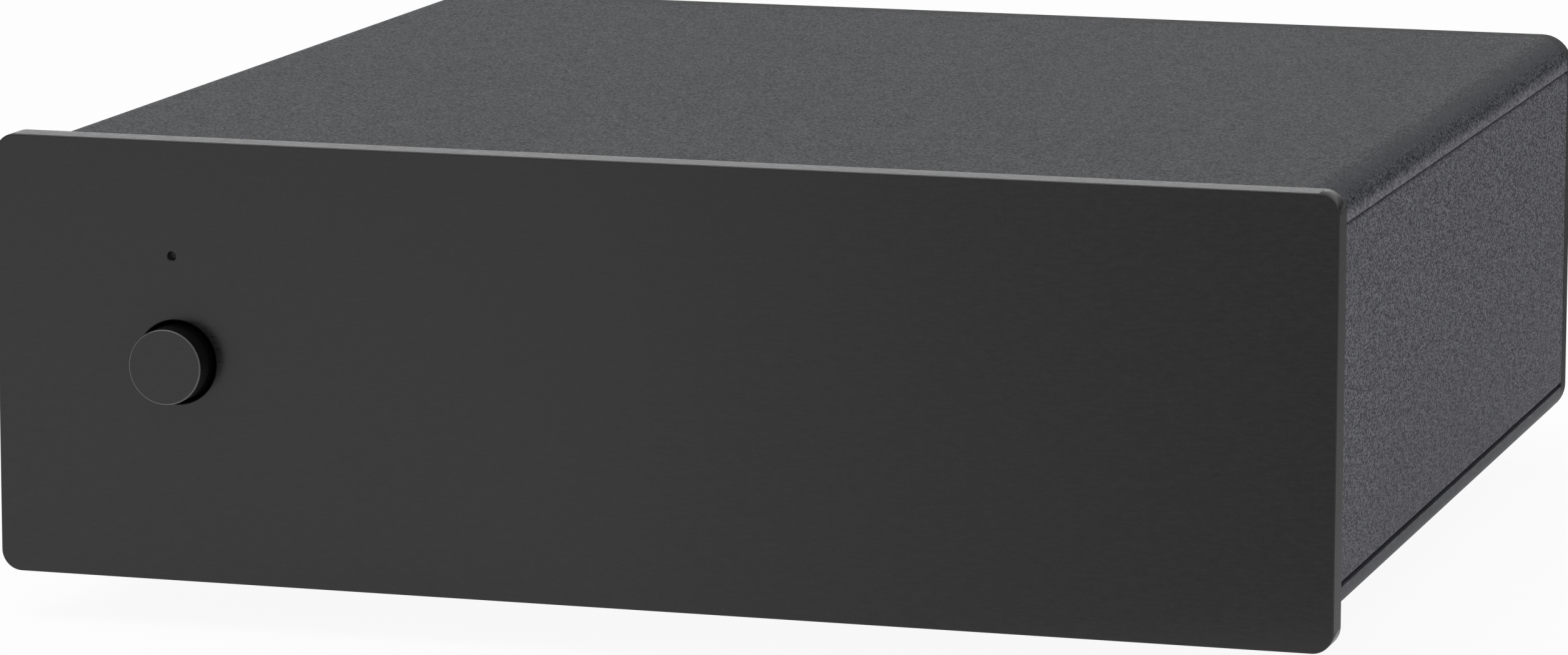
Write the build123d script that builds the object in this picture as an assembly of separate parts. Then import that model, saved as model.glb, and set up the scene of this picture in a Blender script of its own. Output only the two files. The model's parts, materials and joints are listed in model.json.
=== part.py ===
from build123d import *
import math
import os

# A small phono preamp: a metal case behind a thick front panel, with its board, sockets and switches.
# Millimetres. +Z is up, the front panel faces -Y, and +X is to the right as seen from the front.
# The origin is on the surface that the feet stand on, in the middle of the whole length and width.

# Front panel
panel_width = 103.0
panel_height = 33.4
panel_thickness = 2.6
panel_corner_radius = 1.6
panel_edge_break = 0.12

# Case: two covers that slide along two side rails, closed by a bulkhead and a rear panel
side_overhang = 1.35
top_overhang = 0.65
case_depth = 94.4
case_edge_radius = 2.5
cover_thickness = 1.2
rear_panel_thickness = 2.0
bulkhead_thickness = 1.2
seam_drop = 2.75
seam_width = 0.3
slide_gap = 0.1

# Side rails and the cover hooks that run in their grooves
rail_wall = 2.4
groove_drop = 4.0
groove_height = 1.0
groove_depth = 1.0
hook_web = 0.9
boss_radius = 2.3
boss_inset = 3.2
boss_slot = 0.9
rib_reach = 1.6
rib_height = 1.0

# Feet
foot_height = 4.25
foot_radius = 5.0
foot_taper = 0.4
foot_edge_radius = 0.5
foot_from_side = 12.65
foot_from_front = 24.0
foot_from_rear = 17.0

# Small screws: machine screws in the case, and tapping screws in the socket blocks
screw_radius = 1.25
screw_fit = 0.03
screw_hole_gap = 0.15
screw_head_radius = 2.3
countersink_depth = 1.05
rear_screw_length = 8.0
bulkhead_screw_length = 6.0
panel_screw_head_height = 1.3
panel_screw_bite = 1.6
panel_screw_x = 28.0
panel_screw_z = 11.0
recess_width = 0.5
recess_span = 2.4
recess_depth = 0.7
block_screw_radius = 1.4
block_screw_length = 8.0
block_screw_head_radius = 2.6
block_screw_head_height = 1.6

# Power button and the push switch behind it
button_radius = 2.86
button_gap = 0.29
button_proud = 2.5
button_length = 8.5
button_travel = 2.0
button_edge_break = 0.15
button_from_left = 14.4
bulkhead_hole_gap = 0.3
plunger_side = 2.8
plunger_socket = 2.8
plunger_fit = 0.05
plunger_entry = 5.4
plunger_end_gap = 0.6
collar_side = 5.0
collar_thickness = 0.8
switch_gap = 4.8
switch_width = 8.4
switch_height = 8.6
switch_length = 10.0
switch_opening_gap = 0.1
spring_wire = 0.4
spring_radius = 2.2
spring_turns = 5
spring_end_gap = 0.05
switch_pin_side = 0.6
switch_pin_pitch = 4.0
switch_pin_spread = 2.2

# Status light: a pinhole in the panel, with the lamp held in a bush in the bulkhead
light_above_button = 8.02
light_from_left = 14.1
pinhole_radius = 0.33
pinhole_wall = 0.8
lamp_radius = 1.5
lamp_length = 5.3
lamp_flange_radius = 1.85
lamp_flange_thickness = 1.0
lamp_pocket_gap = 0.25
lamp_tip_gap = 0.2
lamp_fit = 0.05
bush_wall = 0.9
bush_collar_radius = 3.1
bush_front_gap = 0.1
lead_side = 0.5
lead_pitch = 2.54
lead_run = 18.2

# Main board, held in the rails' slots
board_thickness = 1.6
board_end_gap = 0.3
board_side_gap = 0.15
board_above_boss = 0.45
pin_tail = 1.5
drill_gap = 0.12

# Rear sockets, with one height for every axis: the inputs are placed from the case's right side, the
# earth post beside their block, the outputs beside the post, and the power inlet from the left side
socket_above_board = 6.0
socket_pitch = 14.0
inputs_from_side = 21.65
post_to_inputs = 4.6
post_to_outputs = 5.4
jack_from_side = 14.15
block_margin = 6.0
block_depth = 11.0
block_height = 13.5
block_screw_rise = 5.0
shell_radius = 4.15
shell_wall = 0.75
shell_neck_radius = 4.4
shell_proud = 9.5
shell_seat = 4.0
shell_flange_radius = 4.9
shell_flange_thickness = 0.8
socket_fit = 0.05
socket_hole_gap = 0.15
insulator_recess = 0.6
insulator_start = 2.0
plug_pin_radius = 1.6
insulator_bore_gap = 0.25
contact_wall = 0.2
contact_recess = 3.0
contact_slit = 0.4
contact_rod_radius = 0.9
tail_width = 1.0
tail_thickness = 0.4
tail_slot_gap = 0.3

# Power inlet
jack_width = 9.0
jack_height = 11.0
jack_depth = 13.5
jack_nose_radius = 4.2
jack_nose_proud = 0.6
jack_bore_radius = 3.15
jack_bore_depth = 10.0
jack_pin_radius = 1.05
jack_shank_radius = 1.5
jack_pin_recess = 1.0
jack_lug_thickness = 0.8
jack_contact_width = 2.4
jack_contact_thickness = 0.5
jack_contact_step = 0.35

# Earth terminal
stud_radius = 2.0
stud_reach = 13.5
stud_end_break = 0.4
stud_inside = 7.5
hex_across_flats = 7.0
hex_collar_thickness = 2.4
inner_nut_thickness = 3.2
tag_thickness = 0.7
tag_width = 6.0
tag_foot = 4.0
tag_foot_width = 4.0
tag_top = 3.5
washer_radius = 4.0
washer_thickness = 0.8
thumb_nut_radius = 4.75
thumb_nut_length = 7.0
thumb_nut_knurls = 28
knurl_depth = 0.3
thumb_nut_hub_radius = 3.6
thumb_nut_hub_length = 1.2
thread_fit = 0.05

# Setting switches on the underside of the board
setting_x = 14.0
setting_behind_middle = 2.6
setting_ways = 4
way_pitch = 2.54
setting_side_margin = 0.75
setting_length = 9.6
setting_row_spread = 3.81
setting_face_gap = 0.9
slider_width = 1.0
slider_length = 2.2
slider_travel = 1.6
slider_proud = 0.7
slider_lip = 0.8
slider_base_width = 1.5
slider_base_length = 2.8
slider_base_height = 1.0
slider_gap = 0.1
aperture_side_margin = 0.37
aperture_end_margin = 1.5
aperture_corner = 1.0
pin_radius = 0.25

# Pieces on the top of the board, in three groups: at the front they are placed from the panel's front
# face, in the middle from the middle of the board's length, and at the rear from the rear panel
large_cap_radius = 5.0
large_cap_height = 16.0
large_cap_rail_gap = 1.25
large_cap_inner_x = -26.0
large_cap_from_rear = (29.0, 20.0)
small_cap_radius = 3.15
small_cap_height = 11.0
small_cap_columns = [24.0, 32.0]
small_cap_from_front = 40.0
cap_lead_share = 0.45
cap_groove = 0.35
cap_groove_above_board = 1.4
cap_edge_radius = 0.35
film_cap_size = (3.0, 7.2, 7.0)
film_cap_columns = [25.0, 31.0, 37.0]
film_cap_behind_middle = 2.6
film_cap_lead_spread = 2.5
op_amp_x = 14.0
op_amp_from_front = 34.0
op_amp_from_rear = 25.0
op_amp_size = (6.4, 9.3, 3.3)
op_amp_standoff = 0.5
op_amp_legs = 4
op_amp_leg_spread = 3.81
relay_x = 0.0
relay_block_gap = 3.25
relay_size = (15.0, 7.5, 10.0)
relay_pin_spread = (5.08, 2.54)
regulator_place = (-8.0, 14.0)
regulator_body = (10.0, 4.4, 9.0)
regulator_tab = (10.0, 1.3)
regulator_top_gap = 1.15
regulator_leg_height = 3.0
regulator_leg_pitch = 2.54
heatsink_base = 1.5
heatsink_fin = 1.0
heatsink_fins = 5
heatsink_fin_depth = 6.0
heatsink_width = 16.0
heatsink_top_gap = 2.15
choke_rail_gap = 8.25
choke_from_front = 30.0
choke_radius = 4.0
choke_height = 9.0
choke_flange = 1.5
choke_core_radius = 3.0
resistor_size = (2.0, 1.25, 0.5)
resistor_x = 6.0
resistor_rows = 8
resistor_pitch = 2.2
resistors_behind_middle = 2.3

# Places worked out from the sizes above
case_width = panel_width - 2 * side_overhang
case_height = panel_height - 2 * top_overhang
case_side = case_width / 2
case_half = case_height / 2
overall_depth = button_proud + panel_thickness + case_depth + stud_reach
front_y = button_proud - overall_depth / 2
panel_back = front_y + panel_thickness
bulkhead_back = panel_back + bulkhead_thickness
rear_face = panel_back + case_depth
rear_inner = rear_face - rear_panel_thickness
skin_length = rear_inner - panel_back
inner_length = rear_inner - bulkhead_back
middle_y = (bulkhead_back + rear_inner) / 2
cover_inner = foot_height + case_height - cover_thickness
mid_z = foot_height + case_half
rail_inner = case_side - rail_wall
boss_x = rail_inner - boss_inset
boss_z = case_half - groove_drop - groove_height - slide_gap - boss_radius
board_bottom = mid_z - boss_z + boss_radius + board_above_boss
board_top = board_bottom + board_thickness
pin_bottom = board_bottom - pin_tail
socket_z = board_top + socket_above_board
button_x = button_from_left - panel_width / 2
light_x = light_from_left - panel_width / 2
light_z = mid_z + light_above_button
button_bore = button_radius + button_gap
corner_signs = [(-1, -1), (1, -1), (-1, 1), (1, 1)]
case_screw_places = [(sx * boss_x, mid_z + sz * boss_z) for sx, sz in corner_signs]
panel_screw_places = [(sx * panel_screw_x, mid_z + sz * panel_screw_z) for sx, sz in corner_signs]
setting_face = foot_height + cover_thickness + setting_face_gap
setting_width = setting_ways * way_pitch + 2 * setting_side_margin
setting_y = middle_y + setting_behind_middle
block_width = socket_pitch + 2 * block_margin
block_start = rear_inner - block_depth
block_screw_z = socket_z + block_screw_rise
input_centre_x = case_side - inputs_from_side
ground_x = input_centre_x - block_width / 2 - post_to_inputs
output_centre_x = ground_x - post_to_outputs - block_width / 2
dc_jack_x = jack_from_side - case_side
input_places = [input_centre_x + s * socket_pitch / 2 for s in (1, -1)]
output_places = [output_centre_x + s * socket_pitch / 2 for s in (1, -1)]


# Ways to make a solid

def run_back(outline, start, length):
    """An outline drawn in X and Z, as a solid that runs back along Y from start."""
    plane = Plane(origin=(0, start, 0), x_dir=(1, 0, 0), z_dir=(0, -1, 0))
    return extrude(plane * outline, amount=-length)


def rod(x, z, radius, start, length):
    return run_back(Pos(x, z) * Circle(radius), start, length)


def hexagon(x, z, start, length):
    return run_back(Pos(x, z) * RegularPolygon(hex_across_flats / 2, 6, major_radius=False), start, length)


def brick(width, depth, height, x, y, z):
    """A block centred on x and y, standing on z."""
    align = (Align.CENTER, Align.CENTER, Align.MIN)
    return Pos(x, y, z) * Box(width, depth, height, align=align)


def brick_back(width, depth, height, x, start, z):
    """A block centred on x, running back from start, standing on z."""
    return brick(width, depth, height, x, start + depth / 2, z)


def post(x, y, z, radius, height):
    """An upright round post that stands on z."""
    align = (Align.CENTER, Align.CENTER, Align.MIN)
    return Pos(x, y, z) * Cylinder(radius, height, align=align)


def turned(points, x, z):
    """A turned piece about a line along Y, from its half section given as (radius, y)."""
    half = make_face(Polyline(*points, close=True))
    return Pos(x, 0, z) * revolve(half, axis=Axis.Y)


def save(name, *pieces):
    solids = [solid for piece in pieces for solid in piece.solids()]
    whole = solids[0] if len(solids) == 1 else Compound(solids)
    export_step(whole, f"parts/{name}.step")


# Screws

def cross_recess(x, z, face, inward):
    """The driver's recess in a head whose face is at the given y, cut along inward (1 or -1)."""
    start = min(face, face + inward * recess_depth)
    flat = run_back(Pos(x, z) * Rectangle(recess_span, recess_width), start, recess_depth)
    upright = run_back(Pos(x, z) * Rectangle(recess_width, recess_span), start, recess_depth)
    return flat + upright


def countersunk_screw(x, z, face, inward, length):
    """A screw whose flat head lies in the plane y = face and whose shank runs along inward."""
    neck = face + inward * countersink_depth
    end = face + inward * length
    section = [(0, face), (screw_head_radius, face), (screw_radius, neck), (screw_radius, end), (0, end)]
    return turned(section, x, z) - cross_recess(x, z, face, inward)


def countersunk_hole(x, z, face, inward, depth):
    """The hole for that screw, in a plate of the given depth."""
    wide = screw_head_radius + screw_hole_gap
    narrow = screw_radius + screw_hole_gap
    neck = face + inward * countersink_depth
    end = face + inward * depth
    section = [(0, face), (wide, face), (narrow, neck), (narrow, end), (0, end)]
    return turned(section, x, z)


def pan_screw(x, z, seat, inward, radius, length, head_radius, head_height):
    """A screw whose head stands on the plane y = seat, away from inward."""
    top = seat - inward * head_height
    end = seat + inward * length
    section = [(0, top), (head_radius, top), (head_radius, seat), (radius, seat), (radius, end), (0, end)]
    return turned(section, x, z) - cross_recess(x, z, top, inward)


def rear_panel_screws():
    return [countersunk_screw(x, z, rear_face, -1, rear_screw_length) for x, z in case_screw_places]


def bulkhead_screws():
    return [countersunk_screw(x, z, panel_back, 1, bulkhead_screw_length) for x, z in case_screw_places]


def front_panel_screws():
    length = bulkhead_thickness + panel_screw_bite
    sizes = (screw_radius, length, screw_head_radius, panel_screw_head_height)
    return [pan_screw(x, z, bulkhead_back, -1, *sizes) for x, z in panel_screw_places]


def socket_block_screws():
    sizes = (block_screw_radius, block_screw_length, block_screw_head_radius, block_screw_head_height)
    return [pan_screw(x, block_screw_z, rear_face, -1, *sizes) for x in (input_centre_x, output_centre_x)]


# Front panel, bulkhead and button

def front_panel():
    outline = Pos(0, mid_z) * RectangleRounded(panel_width, panel_height, panel_corner_radius)
    plate = run_back(outline, front_y, panel_thickness)
    ends = plate.faces().filter_by(Axis.Y)
    plate = fillet(ends.edges(), panel_edge_break)
    plate -= rod(button_x, mid_z, button_bore, front_y, panel_thickness)
    plate -= rod(light_x, light_z, pinhole_radius, front_y, panel_thickness)
    pocket = lamp_radius + lamp_pocket_gap
    plate -= rod(light_x, light_z, pocket, front_y + pinhole_wall, panel_thickness - pinhole_wall)
    for x, z in panel_screw_places:
        depth = panel_screw_bite + screw_hole_gap
        plate -= rod(x, z, screw_radius + screw_fit, panel_back - depth, depth)
    return plate


def front_bulkhead():
    width = 2 * (rail_inner - slide_gap)
    height = case_height - 2 * (cover_thickness + slide_gap)
    plate = run_back(Pos(0, mid_z) * Rectangle(width, height), panel_back, bulkhead_thickness)
    plate -= rod(button_x, mid_z, button_bore + bulkhead_hole_gap, panel_back, bulkhead_thickness)
    bush_radius = lamp_radius + lamp_fit + bush_wall
    plate -= rod(light_x, light_z, bush_radius + lamp_fit, panel_back, bulkhead_thickness)
    for x, z in case_screw_places:
        plate -= countersunk_hole(x, z, panel_back, 1, bulkhead_thickness)
    for x, z in panel_screw_places:
        plate -= rod(x, z, screw_radius + screw_hole_gap, panel_back, bulkhead_thickness)
    return plate


def power_button():
    start = front_y - button_proud
    cap = rod(button_x, mid_z, button_radius, start, button_length)
    front_edge = cap.faces().sort_by(Axis.Y)[0].edges()
    cap = chamfer(front_edge, button_edge_break)
    side = plunger_side + 2 * plunger_fit
    socket = Pos(button_x, mid_z) * Rectangle(side, side)
    return cap - run_back(socket, start + button_length - plunger_socket, plunger_socket)


button_back = front_y - button_proud + button_length
collar_back = button_back + collar_thickness
switch_front = collar_back + switch_gap
switch_cavity = plunger_entry + button_travel + plunger_end_gap


def switch_plunger():
    rod_outline = Pos(button_x, mid_z) * Rectangle(plunger_side, plunger_side)
    length = plunger_socket + collar_thickness + switch_gap + plunger_entry
    stem = run_back(rod_outline, button_back - plunger_socket, length)
    collar_outline = Pos(button_x, mid_z) * Rectangle(collar_side, collar_side)
    return stem + run_back(collar_outline, button_back, collar_thickness)


def switch_body():
    body = brick_back(switch_width, switch_length, switch_height, button_x, switch_front, board_top)
    side = plunger_side + 2 * switch_opening_gap
    opening = Pos(button_x, mid_z) * Rectangle(side, side)
    return body - run_back(opening, switch_front, switch_cavity)


def switch_spring():
    length = switch_gap - spring_wire - 2 * spring_end_gap
    start = collar_back + spring_wire / 2 + spring_end_gap
    path = Helix(pitch=length / spring_turns, height=length, radius=spring_radius)
    wire = Plane(origin=path @ 0, z_dir=path % 0) * Circle(spring_wire / 2)
    coil = sweep(wire, path=path)
    return Pos(button_x, start, mid_z) * Rot(-90, 0, 0) * coil


def switch_pin_places():
    middle = switch_front + switch_length / 2
    rows = (-switch_pin_pitch / 2, 0, switch_pin_pitch / 2)
    return [(button_x + s * switch_pin_spread, middle + row) for s in (-1, 1) for row in rows]


def switch_contacts():
    height = board_top - pin_bottom
    side = switch_pin_side
    return [brick(side, side, height, x, y, pin_bottom) for x, y in switch_pin_places()]


# Status light

lamp_start = front_y + pinhole_wall + lamp_tip_gap
lamp_seat = lamp_start + lamp_length - lamp_flange_thickness
lamp_back = lamp_start + lamp_length


def status_led():
    barrel = lamp_seat - lamp_start - lamp_radius
    lens = rod(light_x, light_z, lamp_radius, lamp_start + lamp_radius, barrel)
    dome = Pos(light_x, lamp_start + lamp_radius, light_z) * Sphere(lamp_radius)
    flange = rod(light_x, light_z, lamp_flange_radius, lamp_seat, lamp_flange_thickness)
    return lens + dome + flange


def led_bush():
    start = panel_back + bush_front_gap
    outer = lamp_radius + lamp_fit + bush_wall
    sleeve = rod(light_x, light_z, outer, start, lamp_seat - start)
    sleeve += rod(light_x, light_z, bush_collar_radius, bulkhead_back, lamp_seat - bulkhead_back)
    return sleeve - rod(light_x, light_z, lamp_radius + lamp_fit, start, lamp_seat - start)


def led_lead_places():
    y = lamp_back + lead_run - lead_side / 2
    return [(light_x + s * lead_pitch / 2, y) for s in (-1, 1)]


def led_leads():
    leads = []
    for x, y in led_lead_places():
        level = brick_back(lead_side, lead_run, lead_side, x, lamp_back, light_z - lead_side / 2)
        upright = brick(lead_side, lead_side, light_z - pin_bottom, x, y, pin_bottom)
        leads.append(level + upright)
    return leads


# Case

def case_outline():
    return RectangleRounded(case_width, case_height, case_edge_radius)


def cover_section():
    """The top cover's sheet, bent down over each edge as far as the seam."""
    inner_width = case_width - 2 * cover_thickness
    inner_height = case_height - 2 * cover_thickness
    ring = case_outline() - RectangleRounded(inner_width, inner_height, case_edge_radius - cover_thickness)
    reach = seam_drop - seam_width / 2
    band = Pos(0, case_half - reach / 2) * Rectangle(case_width, reach)
    return ring & band


def hook_section():
    """The pair of hooks under the top cover, whose tongues run in the rails' grooves."""
    web_outer = rail_inner - slide_gap
    top = case_half - cover_thickness
    bottom = case_half - groove_drop - groove_height + slide_gap
    tongue_height = groove_height - 2 * slide_gap
    tongue_end = rail_inner + groove_depth - slide_gap
    hooks = Sketch()
    for s in (-1, 1):
        web_middle = s * (web_outer - hook_web / 2)
        hooks += Pos(web_middle, (top + bottom) / 2) * Rectangle(hook_web, top - bottom)
        tongue_width = tongue_end - (web_outer - hook_web)
        tongue_middle = s * (tongue_end - tongue_width / 2)
        hooks += Pos(tongue_middle, bottom + tongue_height / 2) * Rectangle(tongue_width, tongue_height)
    return hooks


def top_cover():
    place = Pos(0, mid_z)
    sheet = run_back(place * cover_section(), panel_back, skin_length)
    hooks = run_back(place * hook_section(), bulkhead_back, inner_length)
    return sheet + hooks


def bottom_cover():
    turn_over = Pos(0, 0, mid_z) * Rot(0, 180, 0) * Pos(0, 0, -mid_z)
    plate = turn_over * top_cover()
    width = setting_width + 2 * aperture_side_margin
    length = slider_length + slider_travel + 2 * (slider_gap + aperture_end_margin)
    for x in (-setting_x, setting_x):
        window = RectangleRounded(width, length, aperture_corner)
        cut = extrude(Pos(x, setting_y, foot_height) * window, amount=cover_thickness)
        plate -= cut
    return plate


def rail_wall_section():
    """The right rail's wall, with a thin lip at each end that stands inside the cover's bent edge."""
    face_half = case_half - seam_drop - seam_width / 2
    wall = Pos(case_side - rail_wall / 2, 0) * Rectangle(rail_wall, 2 * face_half)
    lip_outer = case_side - cover_thickness - slide_gap
    lip_width = lip_outer - rail_inner
    lip = Pos(lip_outer - lip_width / 2, 0) * Rectangle(lip_width, case_height)
    bend = case_edge_radius - cover_thickness
    lip &= RectangleRounded(2 * lip_outer, case_height - 2 * cover_thickness, bend)
    section = wall + lip
    groove_middle = case_half - groove_drop - groove_height / 2
    for s in (-1, 1):
        groove = Rectangle(groove_depth, groove_height)
        section -= Pos(rail_inner + groove_depth / 2, s * groove_middle) * groove
    return section


def rail_inner_section():
    """The screw channels and the slot for the board, on the inside of the right rail."""
    channels = Sketch()
    for s in (-1, 1):
        channels += Pos(boss_x, s * boss_z) * Circle(boss_radius)
        channels += Pos(boss_x + boss_inset / 2, s * boss_z) * Rectangle(boss_inset, 2 * boss_radius)
    low_rib = board_bottom - mid_z - rib_height / 2
    high_rib = board_top - mid_z + slide_gap + rib_height / 2
    for z in (low_rib, high_rib):
        channels += Pos(rail_inner - rib_reach / 2, z) * Rectangle(rib_reach, rib_height)
    board_height = board_thickness + slide_gap
    slot_middle = board_bottom - mid_z + board_height / 2
    channels -= Pos(rail_inner - boss_inset, slot_middle) * Rectangle(2 * boss_inset, board_height)
    for s in (-1, 1):
        channels -= Pos(boss_x, s * boss_z) * Circle(screw_radius + screw_fit)
        channels -= Pos(boss_x - boss_radius / 2, s * boss_z) * Rectangle(boss_radius, boss_slot)
    return channels


def right_side_rail():
    place = Pos(0, mid_z)
    wall = run_back(place * rail_wall_section(), panel_back, skin_length)
    inner = run_back(place * rail_inner_section(), bulkhead_back, inner_length)
    return wall + inner


def left_side_rail():
    return mirror(right_side_rail(), about=Plane.YZ)


def rear_panel():
    plate = run_back(Pos(0, mid_z) * case_outline(), rear_inner, rear_panel_thickness)
    for x in input_places + output_places:
        plate -= rod(x, socket_z, shell_neck_radius + socket_hole_gap, rear_inner, rear_panel_thickness)
    for x in (input_centre_x, output_centre_x):
        radius = block_screw_radius + screw_hole_gap
        plate -= rod(x, block_screw_z, radius, rear_inner, rear_panel_thickness)
    plate -= rod(dc_jack_x, socket_z, jack_nose_radius + socket_hole_gap, rear_inner, rear_panel_thickness)
    plate -= rod(ground_x, socket_z, stud_radius + socket_hole_gap, rear_inner, rear_panel_thickness)
    for x, z in case_screw_places:
        plate -= countersunk_hole(x, z, rear_face, -1, rear_panel_thickness)
    return plate


def foot(side, end):
    """One rubber foot: side is -1 for left and 1 for right, end is -1 for the front and 1 for the rear."""
    x = side * (case_side - foot_from_side)
    y = front_y + foot_from_front if end < 0 else rear_face - foot_from_rear
    align = (Align.CENTER, Align.CENTER, Align.MIN)
    pad = Cone(foot_radius - foot_taper, foot_radius, foot_height, align=align)
    bottom_edge = pad.edges().sort_by(Axis.Z)[0]
    return Pos(x, y, 0) * fillet(bottom_edge, foot_edge_radius)


# Phono sockets

shell_end = rear_face + shell_proud
shell_start = rear_inner - shell_seat
insulator_radius = shell_radius - shell_wall - socket_fit
insulator_end = shell_end - insulator_recess
insulator_front = rear_inner - insulator_start
contact_radius = plug_pin_radius + contact_wall
contact_end = shell_end - contact_recess
tail_y = block_start + tail_width
shell_tail_y = rear_inner - shell_seat + tail_thickness / 2


def socket_shell(x):
    """The metal barrel that a plug's skirt grips, with its flange and its tail into the board."""
    barrel = rod(x, socket_z, shell_radius, shell_start, shell_end - shell_start)
    barrel += rod(x, socket_z, shell_neck_radius, rear_inner, rear_panel_thickness)
    flange_start = rear_inner - shell_flange_thickness
    barrel += rod(x, socket_z, shell_flange_radius, flange_start, shell_flange_thickness)
    tail_height = socket_z - shell_radius + shell_wall - pin_bottom
    barrel += brick(tail_width, tail_thickness, tail_height, x, shell_tail_y, pin_bottom)
    bore = shell_radius - shell_wall
    return barrel - rod(x, socket_z, bore, shell_start, shell_end - shell_start)


def socket_insulator(x):
    sleeve = rod(x, socket_z, insulator_radius, insulator_front, insulator_end - insulator_front)
    bore = contact_radius + insulator_bore_gap
    lead_in = rod(x, socket_z, bore, contact_end, insulator_end - contact_end)
    seat = rod(x, socket_z, contact_radius + socket_fit, insulator_front, contact_end - insulator_front)
    return sleeve - lead_in - seat


def centre_contact(x):
    """The split tube that holds a plug's pin, on a rod whose tail goes into the board."""
    tube = rod(x, socket_z, contact_radius, shell_start, contact_end - shell_start)
    depth = contact_end - insulator_front
    tube -= rod(x, socket_z, plug_pin_radius, insulator_front, depth)
    slit = Pos(x, socket_z) * Rectangle(contact_slit, 2 * contact_radius)
    tube -= run_back(slit, contact_end - depth / 2, depth / 2)
    rod_start = tail_y - tail_thickness / 2
    tube += rod(x, socket_z, contact_rod_radius, rod_start, shell_start - rod_start)
    return tube + brick(tail_width, tail_thickness, socket_z - pin_bottom, x, tail_y, pin_bottom)


def socket_block(centre):
    """The plastic block that carries one pair of sockets behind the rear panel."""
    block = brick_back(block_width, block_depth, block_height, centre, block_start, board_top)
    for x in (centre - socket_pitch / 2, centre + socket_pitch / 2):
        block -= rod(x, socket_z, shell_radius + socket_fit, shell_start, shell_seat)
        flange = shell_flange_thickness + socket_fit
        block -= rod(x, socket_z, shell_flange_radius + socket_fit, rear_inner - flange, flange)
        channel_start = tail_y - tail_thickness / 2 - tail_slot_gap
        block -= rod(x, socket_z, contact_radius + socket_fit, channel_start, shell_start - channel_start)
        slot = tail_width + 2 * tail_slot_gap
        thick = tail_thickness + 2 * tail_slot_gap
        block -= brick(slot, thick, socket_above_board, x, tail_y, board_top)
        block -= brick(slot, thick, socket_above_board, x, shell_tail_y, board_top)
    depth = block_screw_length - rear_panel_thickness + screw_hole_gap
    block -= rod(centre, block_screw_z, block_screw_radius + screw_fit, rear_inner - depth, depth)
    return block


def socket_tail_places():
    places = [(x, tail_y) for x in input_places + output_places]
    return places + [(x, shell_tail_y) for x in input_places + output_places]


# Power inlet

jack_start = rear_inner - jack_depth
jack_end = rear_face + jack_nose_proud
jack_lug_y = jack_start - jack_lug_thickness / 2
jack_contact_bottom = socket_z - jack_bore_radius - jack_contact_thickness + jack_contact_step
jack_contact_start = jack_end - jack_bore_depth


def dc_jack_body():
    body = brick_back(jack_width, jack_depth, jack_height, dc_jack_x, jack_start, board_top)
    body += rod(dc_jack_x, socket_z, jack_nose_radius, rear_inner, jack_end - rear_inner)
    body -= rod(dc_jack_x, socket_z, jack_bore_radius, jack_contact_start, jack_bore_depth)
    body -= rod(dc_jack_x, socket_z, jack_shank_radius + socket_fit, jack_start, jack_depth)
    width = jack_contact_width + 2 * socket_fit
    height = socket_z - jack_contact_bottom + socket_fit
    length = rear_inner - jack_contact_start
    groove_z = jack_contact_bottom - socket_fit
    body -= brick_back(width, length, height, dc_jack_x, jack_contact_start, groove_z)
    tail = tail_width + 2 * tail_slot_gap
    return body - brick(tail, tail, socket_above_board, dc_jack_x, jack_contact_tail_y(), board_top)


def jack_contact_tail_y():
    return jack_contact_start + tail_width


def dc_jack_pin():
    pin = rod(dc_jack_x, socket_z, jack_pin_radius, jack_start, jack_end - jack_pin_recess - jack_start)
    pin += rod(dc_jack_x, socket_z, jack_shank_radius, jack_start, jack_contact_start - jack_start)
    lug_width = 2 * jack_pin_radius
    height = socket_z + jack_pin_radius - pin_bottom
    return pin + brick(lug_width, jack_lug_thickness, height, dc_jack_x, jack_lug_y, pin_bottom)


def dc_jack_contact():
    length = rear_inner - jack_contact_start - socket_fit
    strip_size = (jack_contact_width, length, jack_contact_thickness)
    strip = brick_back(*strip_size, dc_jack_x, jack_contact_start, jack_contact_bottom)
    tail_height = jack_contact_bottom - pin_bottom
    return strip + brick(tail_width, tail_width, tail_height, dc_jack_x, jack_contact_tail_y(), pin_bottom)


# Earth terminal

collar_end = rear_face + hex_collar_thickness
washer_end = collar_end + washer_thickness


def ground_stud():
    start = rear_inner - stud_inside
    stud = rod(ground_x, socket_z, stud_radius, start, rear_face + stud_reach - start)
    end_edge = stud.faces().sort_by(Axis.Y)[-1].edges()
    stud = chamfer(end_edge, stud_end_break)
    return stud + hexagon(ground_x, socket_z, rear_face, hex_collar_thickness)


def ground_inner_nut():
    start = rear_inner - tag_thickness - inner_nut_thickness
    nut = hexagon(ground_x, socket_z, start, inner_nut_thickness)
    return nut - rod(ground_x, socket_z, stud_radius + thread_fit, start, inner_nut_thickness)


def tag_pin_y():
    return rear_inner - tag_foot + tail_width


def ground_tag():
    """The sheet lug under the inner nut, bent forward onto the board."""
    height = socket_z + tag_top - board_top
    start = rear_inner - tag_thickness
    lug = brick_back(tag_width, tag_thickness, height, ground_x, start, board_top)
    lug -= rod(ground_x, socket_z, stud_radius + socket_hole_gap, start, tag_thickness)
    lug += brick_back(tag_foot_width, tag_foot, tag_thickness, ground_x, rear_inner - tag_foot, board_top)
    return lug + post(ground_x, tag_pin_y(), pin_bottom, tail_width / 2, board_top - pin_bottom)


def ground_washer():
    washer = rod(ground_x, socket_z, washer_radius, collar_end, washer_thickness)
    return washer - rod(ground_x, socket_z, stud_radius + thread_fit, collar_end, washer_thickness)


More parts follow.
